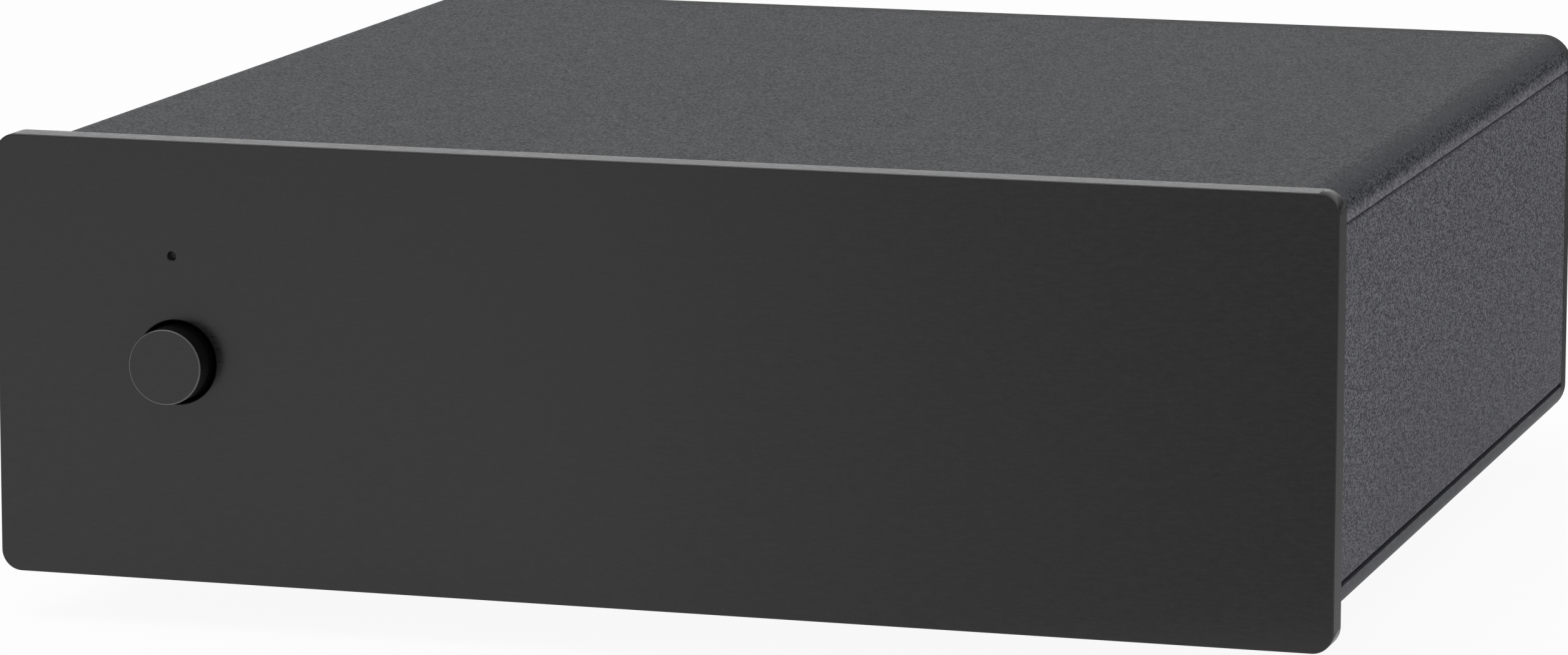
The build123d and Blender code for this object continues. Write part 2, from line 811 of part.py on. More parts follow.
def ground_thumb_nut():
    """The knurled nut, with a plain hub on the side of the washer."""
    points = []
    for i in range(2 * thumb_nut_knurls):
        radius = thumb_nut_radius - knurl_depth * (i % 2)
        angle = math.pi * i / thumb_nut_knurls
        points.append((radius * math.cos(angle), radius * math.sin(angle)))
    knurled = Pos(ground_x, socket_z) * make_face(Polyline(*points, close=True))
    start = washer_end + thumb_nut_hub_length
    nut = run_back(knurled, start, thumb_nut_length - thumb_nut_hub_length)
    nut += rod(ground_x, socket_z, thumb_nut_hub_radius, washer_end, thumb_nut_hub_length)
    return nut - rod(ground_x, socket_z, stud_radius + thread_fit, washer_end, thumb_nut_length)


# Setting switches

def way_x(centre, way):
    return centre + (way - (setting_ways - 1) / 2) * way_pitch


def slider_offset(way):
    """Where a slider rests: the first and last ways are set to the front, and the others to the rear."""
    ends = (0, setting_ways - 1)
    return -slider_travel / 2 if way in ends else slider_travel / 2


def setting_body(centre):
    y = setting_y
    body = brick(setting_width, setting_length, board_bottom - setting_face, centre, y, setting_face)
    for way in range(setting_ways):
        x = way_x(centre, way)
        neck_length = slider_length + slider_travel + 2 * slider_gap
        body -= brick(slider_width + 2 * slider_gap, neck_length, slider_lip, x, y, setting_face)
        base_length = slider_base_length + slider_travel + 2 * slider_gap
        base_height = slider_base_height + 2 * slider_gap
        base_start = setting_face + slider_lip
        body -= brick(slider_base_width + 2 * slider_gap, base_length, base_height, x, y, base_start)
    for x, pin_y in setting_pin_places(centre):
        body += post(x, pin_y, board_bottom, pin_radius, board_thickness + pin_tail)
    return body


def setting_slider(centre, way):
    x = way_x(centre, way)
    y = setting_y + slider_offset(way)
    neck_height = slider_proud + slider_lip + slider_gap
    neck = brick(slider_width, slider_length, neck_height, x, y, setting_face - slider_proud)
    base_start = setting_face + slider_lip + slider_gap
    return neck + brick(slider_base_width, slider_base_length, slider_base_height, x, y, base_start)


def setting_pin_places(centre):
    rows = (setting_y - setting_row_spread, setting_y + setting_row_spread)
    return [(way_x(centre, way), row) for way in range(setting_ways) for row in rows]


# Pieces on the top of the board

def behind_front(distance):
    return front_y + distance


def capacitor(x, y, radius, height):
    """A can with a rolled groove near its foot, and two leads through the board."""
    can = fillet(post(x, y, board_top, radius, height).edges().sort_by(Axis.Z)[-1], cap_edge_radius)
    groove_z = board_top + cap_groove_above_board
    can -= post(x, y, groove_z, radius, cap_groove) - post(x, y, groove_z, radius - cap_groove, cap_groove)
    for lead_x, lead_y in capacitor_lead_places(x, y, radius):
        can += post(lead_x, lead_y, pin_bottom, pin_radius, board_top - pin_bottom)
    return can


def capacitor_lead_places(x, y, radius):
    return [(x + s * radius * cap_lead_share, y) for s in (-1, 1)]


def large_cap_centres():
    """The outer capacitor stands by the left rail's screw boss, and the inner one stands further back."""
    outer_x = large_cap_rail_gap + large_cap_radius + boss_radius - boss_x
    outer, inner = large_cap_from_rear
    return [(outer_x, rear_inner - outer), (large_cap_inner_x, rear_inner - inner)]


def small_cap_centres():
    y = behind_front(small_cap_from_front)
    return [(s * column, y) for s in (-1, 1) for column in small_cap_columns]


def film_cap_centres():
    y = middle_y + film_cap_behind_middle
    return [(s * column, y) for s in (-1, 1) for column in film_cap_columns]


def film_cap_leads(x, y):
    return [(x, y - film_cap_lead_spread), (x, y + film_cap_lead_spread)]


def film_capacitor(x, y):
    box = brick(*film_cap_size, x, y, board_top)
    box = fillet(box.faces().sort_by(Axis.Z)[-1].edges(), cap_edge_radius)
    for lead_x, lead_y in film_cap_leads(x, y):
        box += post(lead_x, lead_y, pin_bottom, pin_radius, board_top - pin_bottom)
    return box


def op_amp_centres():
    rows = (behind_front(op_amp_from_front), rear_inner - op_amp_from_rear)
    return [(s * op_amp_x, row) for s in (-1, 1) for row in rows]


def op_amp_leg_places(x, y):
    rows = [(leg - (op_amp_legs - 1) / 2) * way_pitch for leg in range(op_amp_legs)]
    return [(x + s * op_amp_leg_spread, y + row) for s in (-1, 1) for row in rows]


def op_amp(x, y):
    """An eight-legged chip: each leg comes out of the side at mid height and turns down."""
    chip = brick(*op_amp_size, x, y, board_top + op_amp_standoff)
    middle = board_top + op_amp_standoff + op_amp_size[2] / 2
    for leg_x, leg_y in op_amp_leg_places(x, y):
        shoulder = abs(leg_x - x) * 2 + 2 * pin_radius
        chip += brick(shoulder, 2 * pin_radius, 2 * pin_radius, x, leg_y, middle)
        chip += brick(2 * pin_radius, 2 * pin_radius, middle - pin_bottom, leg_x, leg_y, pin_bottom)
    return chip


def relay_y():
    return block_start - relay_block_gap - relay_size[1] / 2


def relay_pin_places():
    across, along = relay_pin_spread
    return [(relay_x + i * across, relay_y() + s * along) for i in (-1, 0, 1) for s in (-1, 1)]


def mute_relay():
    case = brick(*relay_size, relay_x, relay_y(), board_top)
    case = fillet(case.edges().filter_by(Axis.Z), cap_edge_radius)
    for pin_x, pin_y in relay_pin_places():
        case += post(pin_x, pin_y, pin_bottom, pin_radius, board_top - pin_bottom)
    return case


def regulator_leg_places():
    x, y = regulator_place[0], behind_front(regulator_place[1])
    return [(x + i * regulator_leg_pitch, y) for i in (-1, 0, 1)]


def voltage_regulator():
    """An upright regulator: a moulded body on a metal tab, over three legs."""
    x, y = regulator_place[0], behind_front(regulator_place[1])
    foot_z = board_top + regulator_leg_height
    tab_height = cover_inner - regulator_top_gap - foot_z
    device = brick(*regulator_body, x, y, foot_z)
    device += brick_back(*regulator_tab, tab_height, x, y + regulator_body[1] / 2, foot_z)
    for leg_x, leg_y in regulator_leg_places():
        device += brick(2 * pin_radius, 2 * pin_radius, foot_z - pin_bottom, leg_x, leg_y, pin_bottom)
    return device


def regulator_heatsink():
    """A finned plate that stands on the board behind the regulator's tab."""
    x, y = regulator_place[0], behind_front(regulator_place[1])
    face = y + regulator_body[1] / 2 + regulator_tab[1]
    height = cover_inner - heatsink_top_gap - board_top
    sink = brick_back(heatsink_width, heatsink_base, height, x, face, board_top)
    pitch = (heatsink_width - heatsink_fin) / (heatsink_fins - 1)
    for i in range(heatsink_fins):
        fin_x = x - (heatsink_width - heatsink_fin) / 2 + i * pitch
        fin_start = face + heatsink_base
        sink += brick_back(heatsink_fin, heatsink_fin_depth, height, fin_x, fin_start, board_top)
    return sink


def choke_centre():
    return choke_rail_gap + choke_radius + boss_radius - boss_x, behind_front(choke_from_front)


def choke_lead_places():
    return capacitor_lead_places(*choke_centre(), choke_radius)


def supply_choke():
    x, y = choke_centre()
    choke = post(x, y, board_top, choke_core_radius, choke_height)
    for z in (board_top, board_top + choke_height - choke_flange):
        choke += post(x, y, z, choke_radius, choke_flange)
    for lead_x, lead_y in choke_lead_places():
        choke += post(lead_x, lead_y, pin_bottom, pin_radius, board_top - pin_bottom)
    return choke


def chip_resistors():
    chips = []
    for s in (-1, 1):
        for row in range(resistor_rows):
            y = middle_y + resistors_behind_middle + (row - (resistor_rows - 1) / 2) * resistor_pitch
            chips.append(brick(*resistor_size, s * resistor_x, y, board_top))
    return chips


# Main board

def board_drillings():
    """Every hole through the board, as (x, y, radius of what passes)."""
    corner = math.sqrt(2) / 2
    drillings = [(x, y, switch_pin_side * corner) for x, y in switch_pin_places()]
    drillings += [(x, y, lead_side * corner) for x, y in led_lead_places()]
    tail_corner = math.hypot(tail_width, tail_thickness) / 2
    drillings += [(x, y, tail_corner) for x, y in socket_tail_places()]
    lug_corner = math.hypot(2 * jack_pin_radius, jack_lug_thickness) / 2
    drillings.append((dc_jack_x, jack_lug_y, lug_corner))
    drillings.append((dc_jack_x, jack_contact_tail_y(), tail_width * corner))
    drillings.append((ground_x, tag_pin_y(), tail_width / 2))
    wires = choke_lead_places() + relay_pin_places()
    for centre in (-setting_x, setting_x):
        wires += setting_pin_places(centre)
    for x, y in large_cap_centres():
        wires += capacitor_lead_places(x, y, large_cap_radius)
    for x, y in small_cap_centres():
        wires += capacitor_lead_places(x, y, small_cap_radius)
    for x, y in film_cap_centres():
        wires += film_cap_leads(x, y)
    drillings += [(x, y, pin_radius) for x, y in wires]
    legs = list(regulator_leg_places())
    for x, y in op_amp_centres():
        legs += op_amp_leg_places(x, y)
    return drillings + [(x, y, 2 * pin_radius * corner) for x, y in legs]


def main_board():
    width = 2 * (rail_inner - board_side_gap)
    length = inner_length - 2 * board_end_gap
    start = bulkhead_back + board_end_gap
    board = brick_back(width, length, board_thickness, 0, start, board_bottom)
    holes = Sketch()
    for x, y, radius in board_drillings():
        holes += Pos(x, y) * Circle(radius + drill_gap)
    return board - extrude(Pos(0, 0, board_bottom) * holes, amount=board_thickness)


def save_case():
    save("front_panel", front_panel())
    save("front_bulkhead", front_bulkhead())
    save("left_side_rail", left_side_rail())
    save("right_side_rail", right_side_rail())
    save("top_cover", top_cover())
    save("bottom_cover", bottom_cover())
    save("rear_panel", rear_panel())
    save("rear_panel_screws", *rear_panel_screws())
    save("bulkhead_screws", *bulkhead_screws())
    save("front_panel_screws", *front_panel_screws())
    for end_name, end in (("front", -1), ("rear", 1)):
        for side_name, side in (("left", -1), ("right", 1)):
            save(f"{end_name}_{side_name}_foot", foot(side, end))


def save_front_controls():
    save("power_button", power_button())
    save("switch_plunger", switch_plunger())
    save("switch_body", switch_body())
    save("switch_spring", switch_spring())
    save("switch_contacts", *switch_contacts())
    save("status_led", status_led())
    save("led_bush", led_bush())
    save("led_leads", *led_leads())


def save_rear_sockets():
    for pair, places in (("input", input_places), ("output", output_places)):
        for channel, x in zip(("left", "right"), places):
            save(f"{pair}_{channel}_shell", socket_shell(x))
    save("white_insulators", socket_insulator(input_places[0]), socket_insulator(output_places[0]))
    save("red_insulators", socket_insulator(input_places[1]), socket_insulator(output_places[1]))
    save("centre_contacts", *[centre_contact(x) for x in input_places + output_places])
    save("input_socket_block", socket_block(input_centre_x))
    save("output_socket_block", socket_block(output_centre_x))
    save("socket_block_screws", *socket_block_screws())
    save("dc_jack_body", dc_jack_body())
    save("dc_jack_pin", dc_jack_pin())
    save("dc_jack_contact", dc_jack_contact())
    save("ground_stud", ground_stud())
    save("ground_inner_nut", ground_inner_nut())
    save("ground_tag", ground_tag())
    save("ground_washer", ground_washer())
    save("ground_thumb_nut", ground_thumb_nut())


def save_setting_switches():
    for name, centre in (("left", -setting_x), ("right", setting_x)):
        save(f"{name}_setting_body", setting_body(centre))
        for way in range(setting_ways):
            save(f"{name}_slider_{way + 1}", setting_slider(centre, way))


def save_board():
    save("main_board", main_board())
    large = [capacitor(x, y, large_cap_radius, large_cap_height) for x, y in large_cap_centres()]
    save("large_capacitors", *large)
    small = [capacitor(x, y, small_cap_radius, small_cap_height) for x, y in small_cap_centres()]
    save("small_capacitors", *small)
    save("film_capacitors", *[film_capacitor(x, y) for x, y in film_cap_centres()])
    save("op_amps", *[op_amp(x, y) for x, y in op_amp_centres()])
    save("mute_relay", mute_relay())
    save("voltage_regulator", voltage_regulator())
    save("regulator_heatsink", regulator_heatsink())
    save("supply_choke", supply_choke())
    save("chip_resistors", *chip_resistors())


os.makedirs("parts", exist_ok=True)
save_case()
save_front_controls()
save_rear_sockets()
save_setting_switches()
save_board()
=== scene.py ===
import bmesh
import bpy
import json
import math
from mathutils import Matrix, Vector

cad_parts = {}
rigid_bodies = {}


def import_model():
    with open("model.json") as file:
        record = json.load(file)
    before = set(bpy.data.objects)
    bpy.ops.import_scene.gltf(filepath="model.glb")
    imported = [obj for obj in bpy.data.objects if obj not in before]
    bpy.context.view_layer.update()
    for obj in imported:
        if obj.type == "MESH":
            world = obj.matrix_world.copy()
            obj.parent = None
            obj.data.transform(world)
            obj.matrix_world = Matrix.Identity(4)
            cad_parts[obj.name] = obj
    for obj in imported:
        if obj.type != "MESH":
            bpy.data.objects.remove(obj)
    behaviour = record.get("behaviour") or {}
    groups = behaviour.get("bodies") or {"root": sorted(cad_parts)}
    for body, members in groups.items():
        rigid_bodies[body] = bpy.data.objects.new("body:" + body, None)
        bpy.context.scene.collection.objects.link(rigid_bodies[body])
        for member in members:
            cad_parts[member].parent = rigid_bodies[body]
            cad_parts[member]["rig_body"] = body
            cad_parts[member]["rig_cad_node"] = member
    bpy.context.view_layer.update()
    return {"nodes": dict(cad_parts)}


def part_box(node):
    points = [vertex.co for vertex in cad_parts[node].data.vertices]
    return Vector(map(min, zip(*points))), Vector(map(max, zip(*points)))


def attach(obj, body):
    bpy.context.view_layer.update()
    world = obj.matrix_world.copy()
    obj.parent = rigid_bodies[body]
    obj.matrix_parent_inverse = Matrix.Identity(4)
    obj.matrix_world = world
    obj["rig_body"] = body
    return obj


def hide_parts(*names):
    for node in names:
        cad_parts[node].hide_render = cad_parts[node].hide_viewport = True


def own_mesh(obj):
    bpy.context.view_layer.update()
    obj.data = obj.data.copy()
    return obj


# A small phono preamp on a pale studio floor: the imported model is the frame, and its outer pieces are
# modelled again here with softened edges, threads, knurls and marks. Metres, front panel towards -Y.

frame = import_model()
mm = 0.001
past = 1.0 * mm  # how far a cutter reaches past what it cuts
near = 0.01 * mm  # places closer than this count as the same
weldGap = 0.001 * mm  # corners closer than this are merged in turned and swept pieces
mergeGap = 0.0005 * mm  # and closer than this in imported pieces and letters
sameNormal = math.radians(0.4)  # faces that differ by less are merged
sharpAngle, wideAngle, roundAngle = 32, 40, 50  # degrees: an edge that bends more than this counts as sharp
print("frame loaded:", len(frame["nodes"]), "nodes")


# Modelling helpers

def clearSelection():
    bpy.ops.object.select_all(action="DESELECT")


def selectAll():
    bpy.ops.mesh.select_all(action="SELECT")


def mergeDoubles(gap):
    selectAll()
    bpy.ops.mesh.remove_doubles(threshold=gap)


def middleOf(node):
    low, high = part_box(node)
    return (low + high) / 2


def pick(piece):
    clearSelection()
    piece.select_set(True)
    bpy.context.view_layer.objects.active = piece


def settle(piece, name):  # keeps the place in the mesh, with the object at the origin
    piece.name = name
    piece.data.name = name
    pick(piece)
    bpy.ops.object.transform_apply(location=True, rotation=True, scale=True)
    return piece


def addBlock(name, low, high):
    clearSelection()
    low, high = Vector(low), Vector(high)
    bpy.ops.mesh.primitive_cube_add(size=1, location=(low + high) / 2, scale=high - low)
    return settle(bpy.context.object, name)


def addBetween(name, one, other):  # a block between two opposite corners, in any order
    corners = [sorted(pair) for pair in zip(one, other)]
    return addBlock(name, [pair[0] for pair in corners], [pair[1] for pair in corners])


def addRod(name, x, z, radius, start, end, sides=64):  # a cylinder along Y
    clearSelection()
    place = (x, (start + end) / 2, z)
    bpy.ops.mesh.primitive_cylinder_add(
        vertices=sides, radius=radius, depth=end - start, location=place, rotation=(math.pi / 2, 0, 0)
    )
    return settle(bpy.context.object, name)


def addPost(name, x, y, radius, low, high, sides=64):  # an upright cylinder
    clearSelection()
    place = (x, y, (low + high) / 2)
    bpy.ops.mesh.primitive_cylinder_add(vertices=sides, radius=radius, depth=high - low, location=place)
    return settle(bpy.context.object, name)


def startEditing(piece, mode):
    pick(piece)
    bpy.ops.object.mode_set(mode="EDIT")
    bpy.ops.mesh.select_mode(type=mode)
    bpy.ops.mesh.select_all(action="DESELECT")
    return bmesh.from_edit_mesh(piece.data)


def selectFaces(piece, wanted):
    shape = startEditing(piece, "FACE")
    for face in shape.faces:
        face.select_set(wanted(face))
    bmesh.update_edit_mesh(piece.data)


def selectEdges(piece, wanted):
    shape = startEditing(piece, "EDGE")
    for edge in filter(wanted, shape.edges):
        edge.select_set(True)
    bmesh.update_edit_mesh(piece.data)


def stopEditing():
    bpy.ops.object.mode_set(mode="OBJECT")


def runsAlong(edge, axis):
    span = edge.verts[1].co - edge.verts[0].co
    return abs(span[axis]) > 0.99 * span.length


def edgeMiddle(edge):
    return (edge.verts[0].co + edge.verts[1].co) / 2


def roundEdges(piece, wanted, radius, steps):
    selectEdges(piece, wanted)
    bpy.ops.mesh.bevel(offset=radius, offset_type="OFFSET", segments=steps, profile=0.5, affect="EDGES")
    stopEditing()


def applyModifier(piece, kind, **values):
    pick(piece)
    bpy.ops.object.modifier_add(type=kind)
    modifier = piece.modifiers[-1]
    for name, value in values.items():
        setattr(modifier, name, value)
    bpy.ops.object.modifier_apply(modifier=modifier.name)


def cutAway(piece, cutter):
    applyModifier(piece, "BOOLEAN", operation="DIFFERENCE", solver="EXACT", object=cutter)
    bpy.data.objects.remove(cutter)


def drill(piece, x, z, radius, start, end, sides=64):  # a round hole along Y
    cutAway(piece, addRod("drill", x, z, radius, start, end, sides))


def weld(piece, other):
    applyModifier(piece, "BOOLEAN", operation="UNION", solver="EXACT", object=other)
    bpy.data.objects.remove(other)


def joinPieces(name, pieces):
    pick(pieces[0])
    for piece in pieces[1:]:
        piece.select_set(True)
    if len(pieces) > 1:
        bpy.ops.object.join()
    pieces[0].name = name
    pieces[0].data.name = name
    return pieces[0]


def smoothFaces(piece, angle=sharpAngle):
    pick(piece)
    bpy.ops.object.shade_smooth_by_angle(angle=math.radians(angle))
    applyModifier(piece, "WEIGHTED_NORMAL", keep_sharp=True, weight=80)


def softenEdges(piece, width, steps=2, angle=sharpAngle):
    applyModifier(
        piece, "BEVEL", width=width, segments=steps, limit_method="ANGLE", angle_limit=math.radians(angle),
        miter_outer="MITER_ARC", use_clamp_overlap=True
    )
    smoothFaces(piece, angle)


def drawOutline(name, points):  # one vertex extruded along the points, which are given as (radius, y)
    clearSelection()
    bpy.ops.mesh.primitive_plane_add(size=0.1 * mm, location=(0, 0, 0))
    line = bpy.context.object
    startEditing(line, "VERT")
    selectAll()
    bpy.ops.mesh.merge(type="CENTER")
    bpy.ops.transform.translate(value=(points[0][0], points[0][1], 0))
    for here, there in zip(points, points[1:]):
        step = (there[0] - here[0], there[1] - here[1], 0)
        bpy.ops.mesh.extrude_vertices_move(TRANSFORM_OT_translate={"value": step})
    stopEditing()
    return settle(line, name)


def turnOutline(name, points, x, z, sides=64):  # closes the outline and turns it about a line along Y
    piece = drawOutline(name, points + points[:1])
    startEditing(piece, "VERT")
    selectAll()
    bpy.ops.mesh.spin(steps=sides, angle=2 * math.pi, center=(0, 0, 0), axis=(0, 1, 0))
    mergeDoubles(weldGap)
    faceOutAt(x, z)
    return piece


def sweepScrew(piece, pitch, turns, steps):  # an outline swept along the Y axis into a coil or a thread
    applyModifier(
        piece, "SCREW", axis="Y", angle=2 * math.pi, screw_offset=pitch, iterations=turns, steps=steps,
        render_steps=steps, use_merge_vertices=True, merge_threshold=weldGap
    )


def faceOutAt(x, z):  # faces what is selected outwards and moves it from the Y axis to its own line
    bpy.ops.mesh.normals_make_consistent(inside=False)
    bpy.ops.transform.translate(value=(x, 0, z))
    stopEditing()


def copyNode(node, name, quartered=False):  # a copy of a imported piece, with its loose triangles merged
    pick(frame["nodes"][node])
    bpy.ops.object.duplicate()
    piece = bpy.context.object
    piece.parent = None
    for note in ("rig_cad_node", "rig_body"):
        del piece[note]
    settle(piece, name)
    bpy.ops.mesh.customdata_custom_splitnormals_clear()
    startEditing(piece, "VERT")
    mergeDoubles(mergeGap)
    if quartered:
        markMiddles(middleOf(node))
    selectAll()
    bpy.ops.mesh.dissolve_limited(angle_limit=sameNormal, delimit={"SEAM"})
    stopEditing()
    return piece


def markMiddles(middle):  # seams through the middle, so that no face is left with a hole inside it
    for normal in ((1, 0, 0), (0, 1, 0), (0, 0, 1)):
        selectAll()
        bpy.ops.mesh.bisect(plane_co=middle, plane_no=normal)
        bpy.ops.mesh.mark_seam(clear=False)


# Material helpers

def addNode(tree, kind, **values):
    node = tree.nodes.new(kind)
    for name, value in values.items():
        setattr(node, name, value)
    return node


def plug(socket, value):  # links another node's output, or sets a number or a colour
    if isinstance(value, bpy.types.NodeSocket):
        socket.id_data.links.new(value, socket)
    else:
        socket.default_value = (*value, 1) if isinstance(value, tuple) else value


def setInputs(node, **values):
    for name, value in values.items():
        plug(node.inputs[name.replace("_", " ")], value)


def doMath(tree, operation, first, second=0.0):
    node = addNode(tree, "ShaderNodeMath", operation=operation)
    plug(node.inputs[0], first)
    plug(node.inputs[1], second)
    return node.outputs[0]


def mixColours(tree, mask, low, high):
    node = addNode(tree, "ShaderNodeMix", data_type="RGBA")
    for place, value in ((0, mask), (6, low), (7, high)):
        plug(node.inputs[place], value)
    return node.outputs[2]


def mixShaders(tree, share, first, second):
    node = addNode(tree, "ShaderNodeMixShader")
    for place, value in enumerate((share, first, second)):
        plug(node.inputs[place], value)
    return node.outputs[0]


def spread(tree, value, low, high, newLow=0.0, newHigh=1.0):
    node = addNode(tree, "ShaderNodeMapRange")
    setInputs(node, Value=value, From_Min=low, From_Max=high, To_Min=newLow, To_Max=newHigh)
    return node.outputs["Result"]


def addBump(tree, height, strength, distance):
    node = addNode(tree, "ShaderNodeBump")
    setInputs(node, Strength=strength, Distance=distance, Height=height)
    return node.outputs["Normal"]


def addNoise(tree, place, scale, detail, roughness):
    node = addNode(tree, "ShaderNodeTexNoise")
    setInputs(node, Vector=place, Scale=scale, Detail=detail, Roughness=roughness)
    return node.outputs[0]


def placeOf(tree):  # the place on the piece
    return addNode(tree, "ShaderNodeTexCoord").outputs["Object"]


def normalOf(tree):
    return addNode(tree, "ShaderNodeNewGeometry").outputs["Normal"]


def partsOf(tree, vector):  # its X, Y and Z
    parts = addNode(tree, "ShaderNodeSeparateXYZ")
    plug(parts.inputs[0], vector)
    return parts.outputs


def newGroup(name, inputs, outputs):
    group = bpy.data.node_groups.new(name, "ShaderNodeTree")
    for socket, value in inputs.items():
        made = group.interface.new_socket(socket, in_out="INPUT", socket_type="NodeSocketFloat")
        made.default_value = value
    for socket in outputs:
        group.interface.new_socket(socket, in_out="OUTPUT", socket_type="NodeSocketFloat")
    return group, addNode(group, "NodeGroupInput").outputs, addNode(group, "NodeGroupOutput")


def grainGroup():  # fine speckle of a textured finish: Speckle from 0 to 1, and its Height
    inputs = {"Scale": 5200.0, "Coarse": 0.35, "Depth": 1.0}
    group, given, made = newGroup("fineGrain", inputs, ["Speckle", "Height"])
    coarseScale = 0.31  # of the fine grain's scale
    stretch = addNode(group, "ShaderNodeCombineXYZ")
    setInputs(stretch, X=1.0, Y=given["Depth"], Z=1.0)
    place = addNode(group, "ShaderNodeVectorMath", operation="MULTIPLY")
    plug(place.inputs[0], placeOf(group))
    plug(place.inputs[1], stretch.outputs[0])
    fine = addNoise(group, place.outputs[0], given["Scale"], detail=4.0, roughness=0.7)
    scale = doMath(group, "MULTIPLY", given["Scale"], coarseScale)
    coarse = addNoise(group, place.outputs[0], scale, detail=1.0, roughness=0.5)
    coarsePart = doMath(group, "MULTIPLY", coarse, given["Coarse"])
    finePart = doMath(group, "MULTIPLY", fine, doMath(group, "SUBTRACT", 1.0, given["Coarse"]))
    both = doMath(group, "ADD", coarsePart, finePart)
    setInputs(made, Speckle=spread(group, both, 0.43, 0.57), Height=both)
    return group


def brushGroup():  # short lines drawn along X by a brushing belt
    group, given, made = newGroup("brushedLines", {"Across": 9000.0, "Along": 420.0}, ["Lines", "Height"])
    stretched = addNode(group, "ShaderNodeCombineXYZ")
    for part, scale, socket in zip(partsOf(group, placeOf(group)), ("Along", "Across", "Across"), stretched.inputs):
        plug(socket, doMath(group, "MULTIPLY", part, given[scale]))
    lines = addNoise(group, stretched.outputs[0], 1.0, detail=2.0, roughness=0.6)
    setInputs(made, Lines=spread(group, lines, 0.3, 0.7), Height=lines)
    return group


def cloudGroup():  # slow variation, as from handling and a little dust
    group, given, made = newGroup("slowClouds", {"Scale": 60.0}, ["Clouds"])
    noise = addNoise(group, placeOf(group), given["Scale"], detail=4.0, roughness=0.55)
    setInputs(made, Clouds=spread(group, noise, 0.3, 0.7))
    return group


def edgeGroup():  # Edge is 1 on the broken edge round a front or back face, and Side is 1 on what faces sideways; brushed finishes paint their highlight and shade through these two masks
    group, given, made = newGroup("brokenEdge", {"Soft": 0.12}, ["Edge", "Side"])
    flat, steep = 0.995, 0.3  # how far the normal points along Y on a face, and at most on a side
    facing = doMath(group, "ABSOLUTE", partsOf(group, normalOf(group))[1])
    both = addNode(group, "ShaderNodeMath", operation="MINIMUM", use_clamp=True)
    plug(both.inputs[0], doMath(group, "DIVIDE", facing, given["Soft"]))
    plug(both.inputs[1], doMath(group, "DIVIDE", doMath(group, "SUBTRACT", flat, facing), given["Soft"]))
    setInputs(made, Edge=both.outputs[0], Side=doMath(group, "LESS_THAN", facing, steep))
    return group


groups = {"grain": grainGroup(), "brush": brushGroup(), "clouds": cloudGroup(), "edge": edgeGroup()}


def useGroup(tree, name, **values):
    node = addNode(tree, "ShaderNodeGroup", node_tree=groups[name])
    setInputs(node, **values)
    return node.outputs


def newFinish(name, **values):
    finish = bpy.data.materials.new(name)
    finish.use_nodes = True
    shader = finish.node_tree.nodes["Principled BSDF"]
    setInputs(shader, **values)
    return finish, finish.node_tree, shader


def grey(level):
    return (level,) * 3


plainLook = {  # what a look leaves out
    "metallic": 0.0, "specular": 0.5, "patchy": 0.2, "patchScale": 60.0, "scale": 3600.0, "coarse": 0.35,
    "stretch": 1.0, "relief": 0.2, "depth": 0.02 * mm,
}
plainBrushed = {
    **plainLook, "patchScale": 40.0, "coarse": 0.2, "lineShare": 0.6, "grainShare": 0.4, "grainHeight": 0.5,
}


def speckled(tree, look, speckle):
    return mixColours(tree, speckle, look["dark"], look["light"])


def addPatches(tree, colour, look):
    share = doMath(tree, "MULTIPLY", useGroup(tree, "clouds", Scale=look["patchScale"])[0], look["patchy"])
    return mixColours(tree, share, colour, look["patch"])


def grainyFinish(name, look):  # a finish whose colour, roughness and relief all follow the grain
    look = {**plainLook, **look}
    finish, tree, shader = newFinish(name, Metallic=look["metallic"], Specular_IOR_Level=look["specular"])
    grain = useGroup(tree, "grain", Scale=look["scale"], Coarse=look["coarse"], Depth=look["stretch"])
    colour = speckled(tree, look, grain["Speckle"])
    # painted shade from the paint's relief: on faces that point up the grain takes other colours
    if "levelShade" in look:
        levelShade = look["levelShade"]
        fine = useGroup(tree, "grain", Scale=levelShade["scale"], Coarse=levelShade["coarse"], Depth=levelShade["stretch"])
        level = spread(tree, partsOf(tree, normalOf(tree))[2], *levelShade["facing"])
        colour = mixColours(tree, level, colour, speckled(tree, levelShade, fine["Speckle"]))
    colour = addPatches(tree, colour, look)
    # the covers' hems take a painted highlight strip: lighter grain colours mixed in along them
    if "hemHighlight" in look:
        colour = mixColours(tree, hemMask(tree, look["hemHighlight"]), colour, speckled(tree, look["hemHighlight"], grain["Speckle"]))
    rough = spread(tree, grain["Speckle"], 0, 1, *look["roughness"])
    normal = addBump(tree, grain["Height"], look["relief"], look["depth"])
    setInputs(shader, Base_Color=colour, Roughness=rough, Normal=normal)
    return finish


def hemMask(tree, hemHighlight):  # 1 in a band along the top cover's lower hem and, weaker, along the bottom cover's upper rim: a painted highlight strip on the covers' rounded edges beside the seams
    height = partsOf(tree, placeOf(tree))[2]
    width, soft = hemHighlight["width"], hemHighlight["soft"] * hemHighlight["width"]
    inUpper = doMath(tree, "GREATER_THAN", height, (hemHighlight["high"] + hemHighlight["low"]) / 2)
    inLower = doMath(tree, "SUBTRACT", 1.0, inUpper)
    upper = spread(tree, height, hemHighlight["high"] + soft, hemHighlight["high"] + width, 1.0, 0.0)
    lower = spread(tree, height, hemHighlight["low"] - width, hemHighlight["low"] - soft)
    upper = doMath(tree, "MULTIPLY", upper, inUpper)
    lower = doMath(tree, "MULTIPLY", doMath(tree, "MULTIPLY", lower, inLower), hemHighlight["lowerShare"])
    return doMath(tree, "ADD", upper, lower)


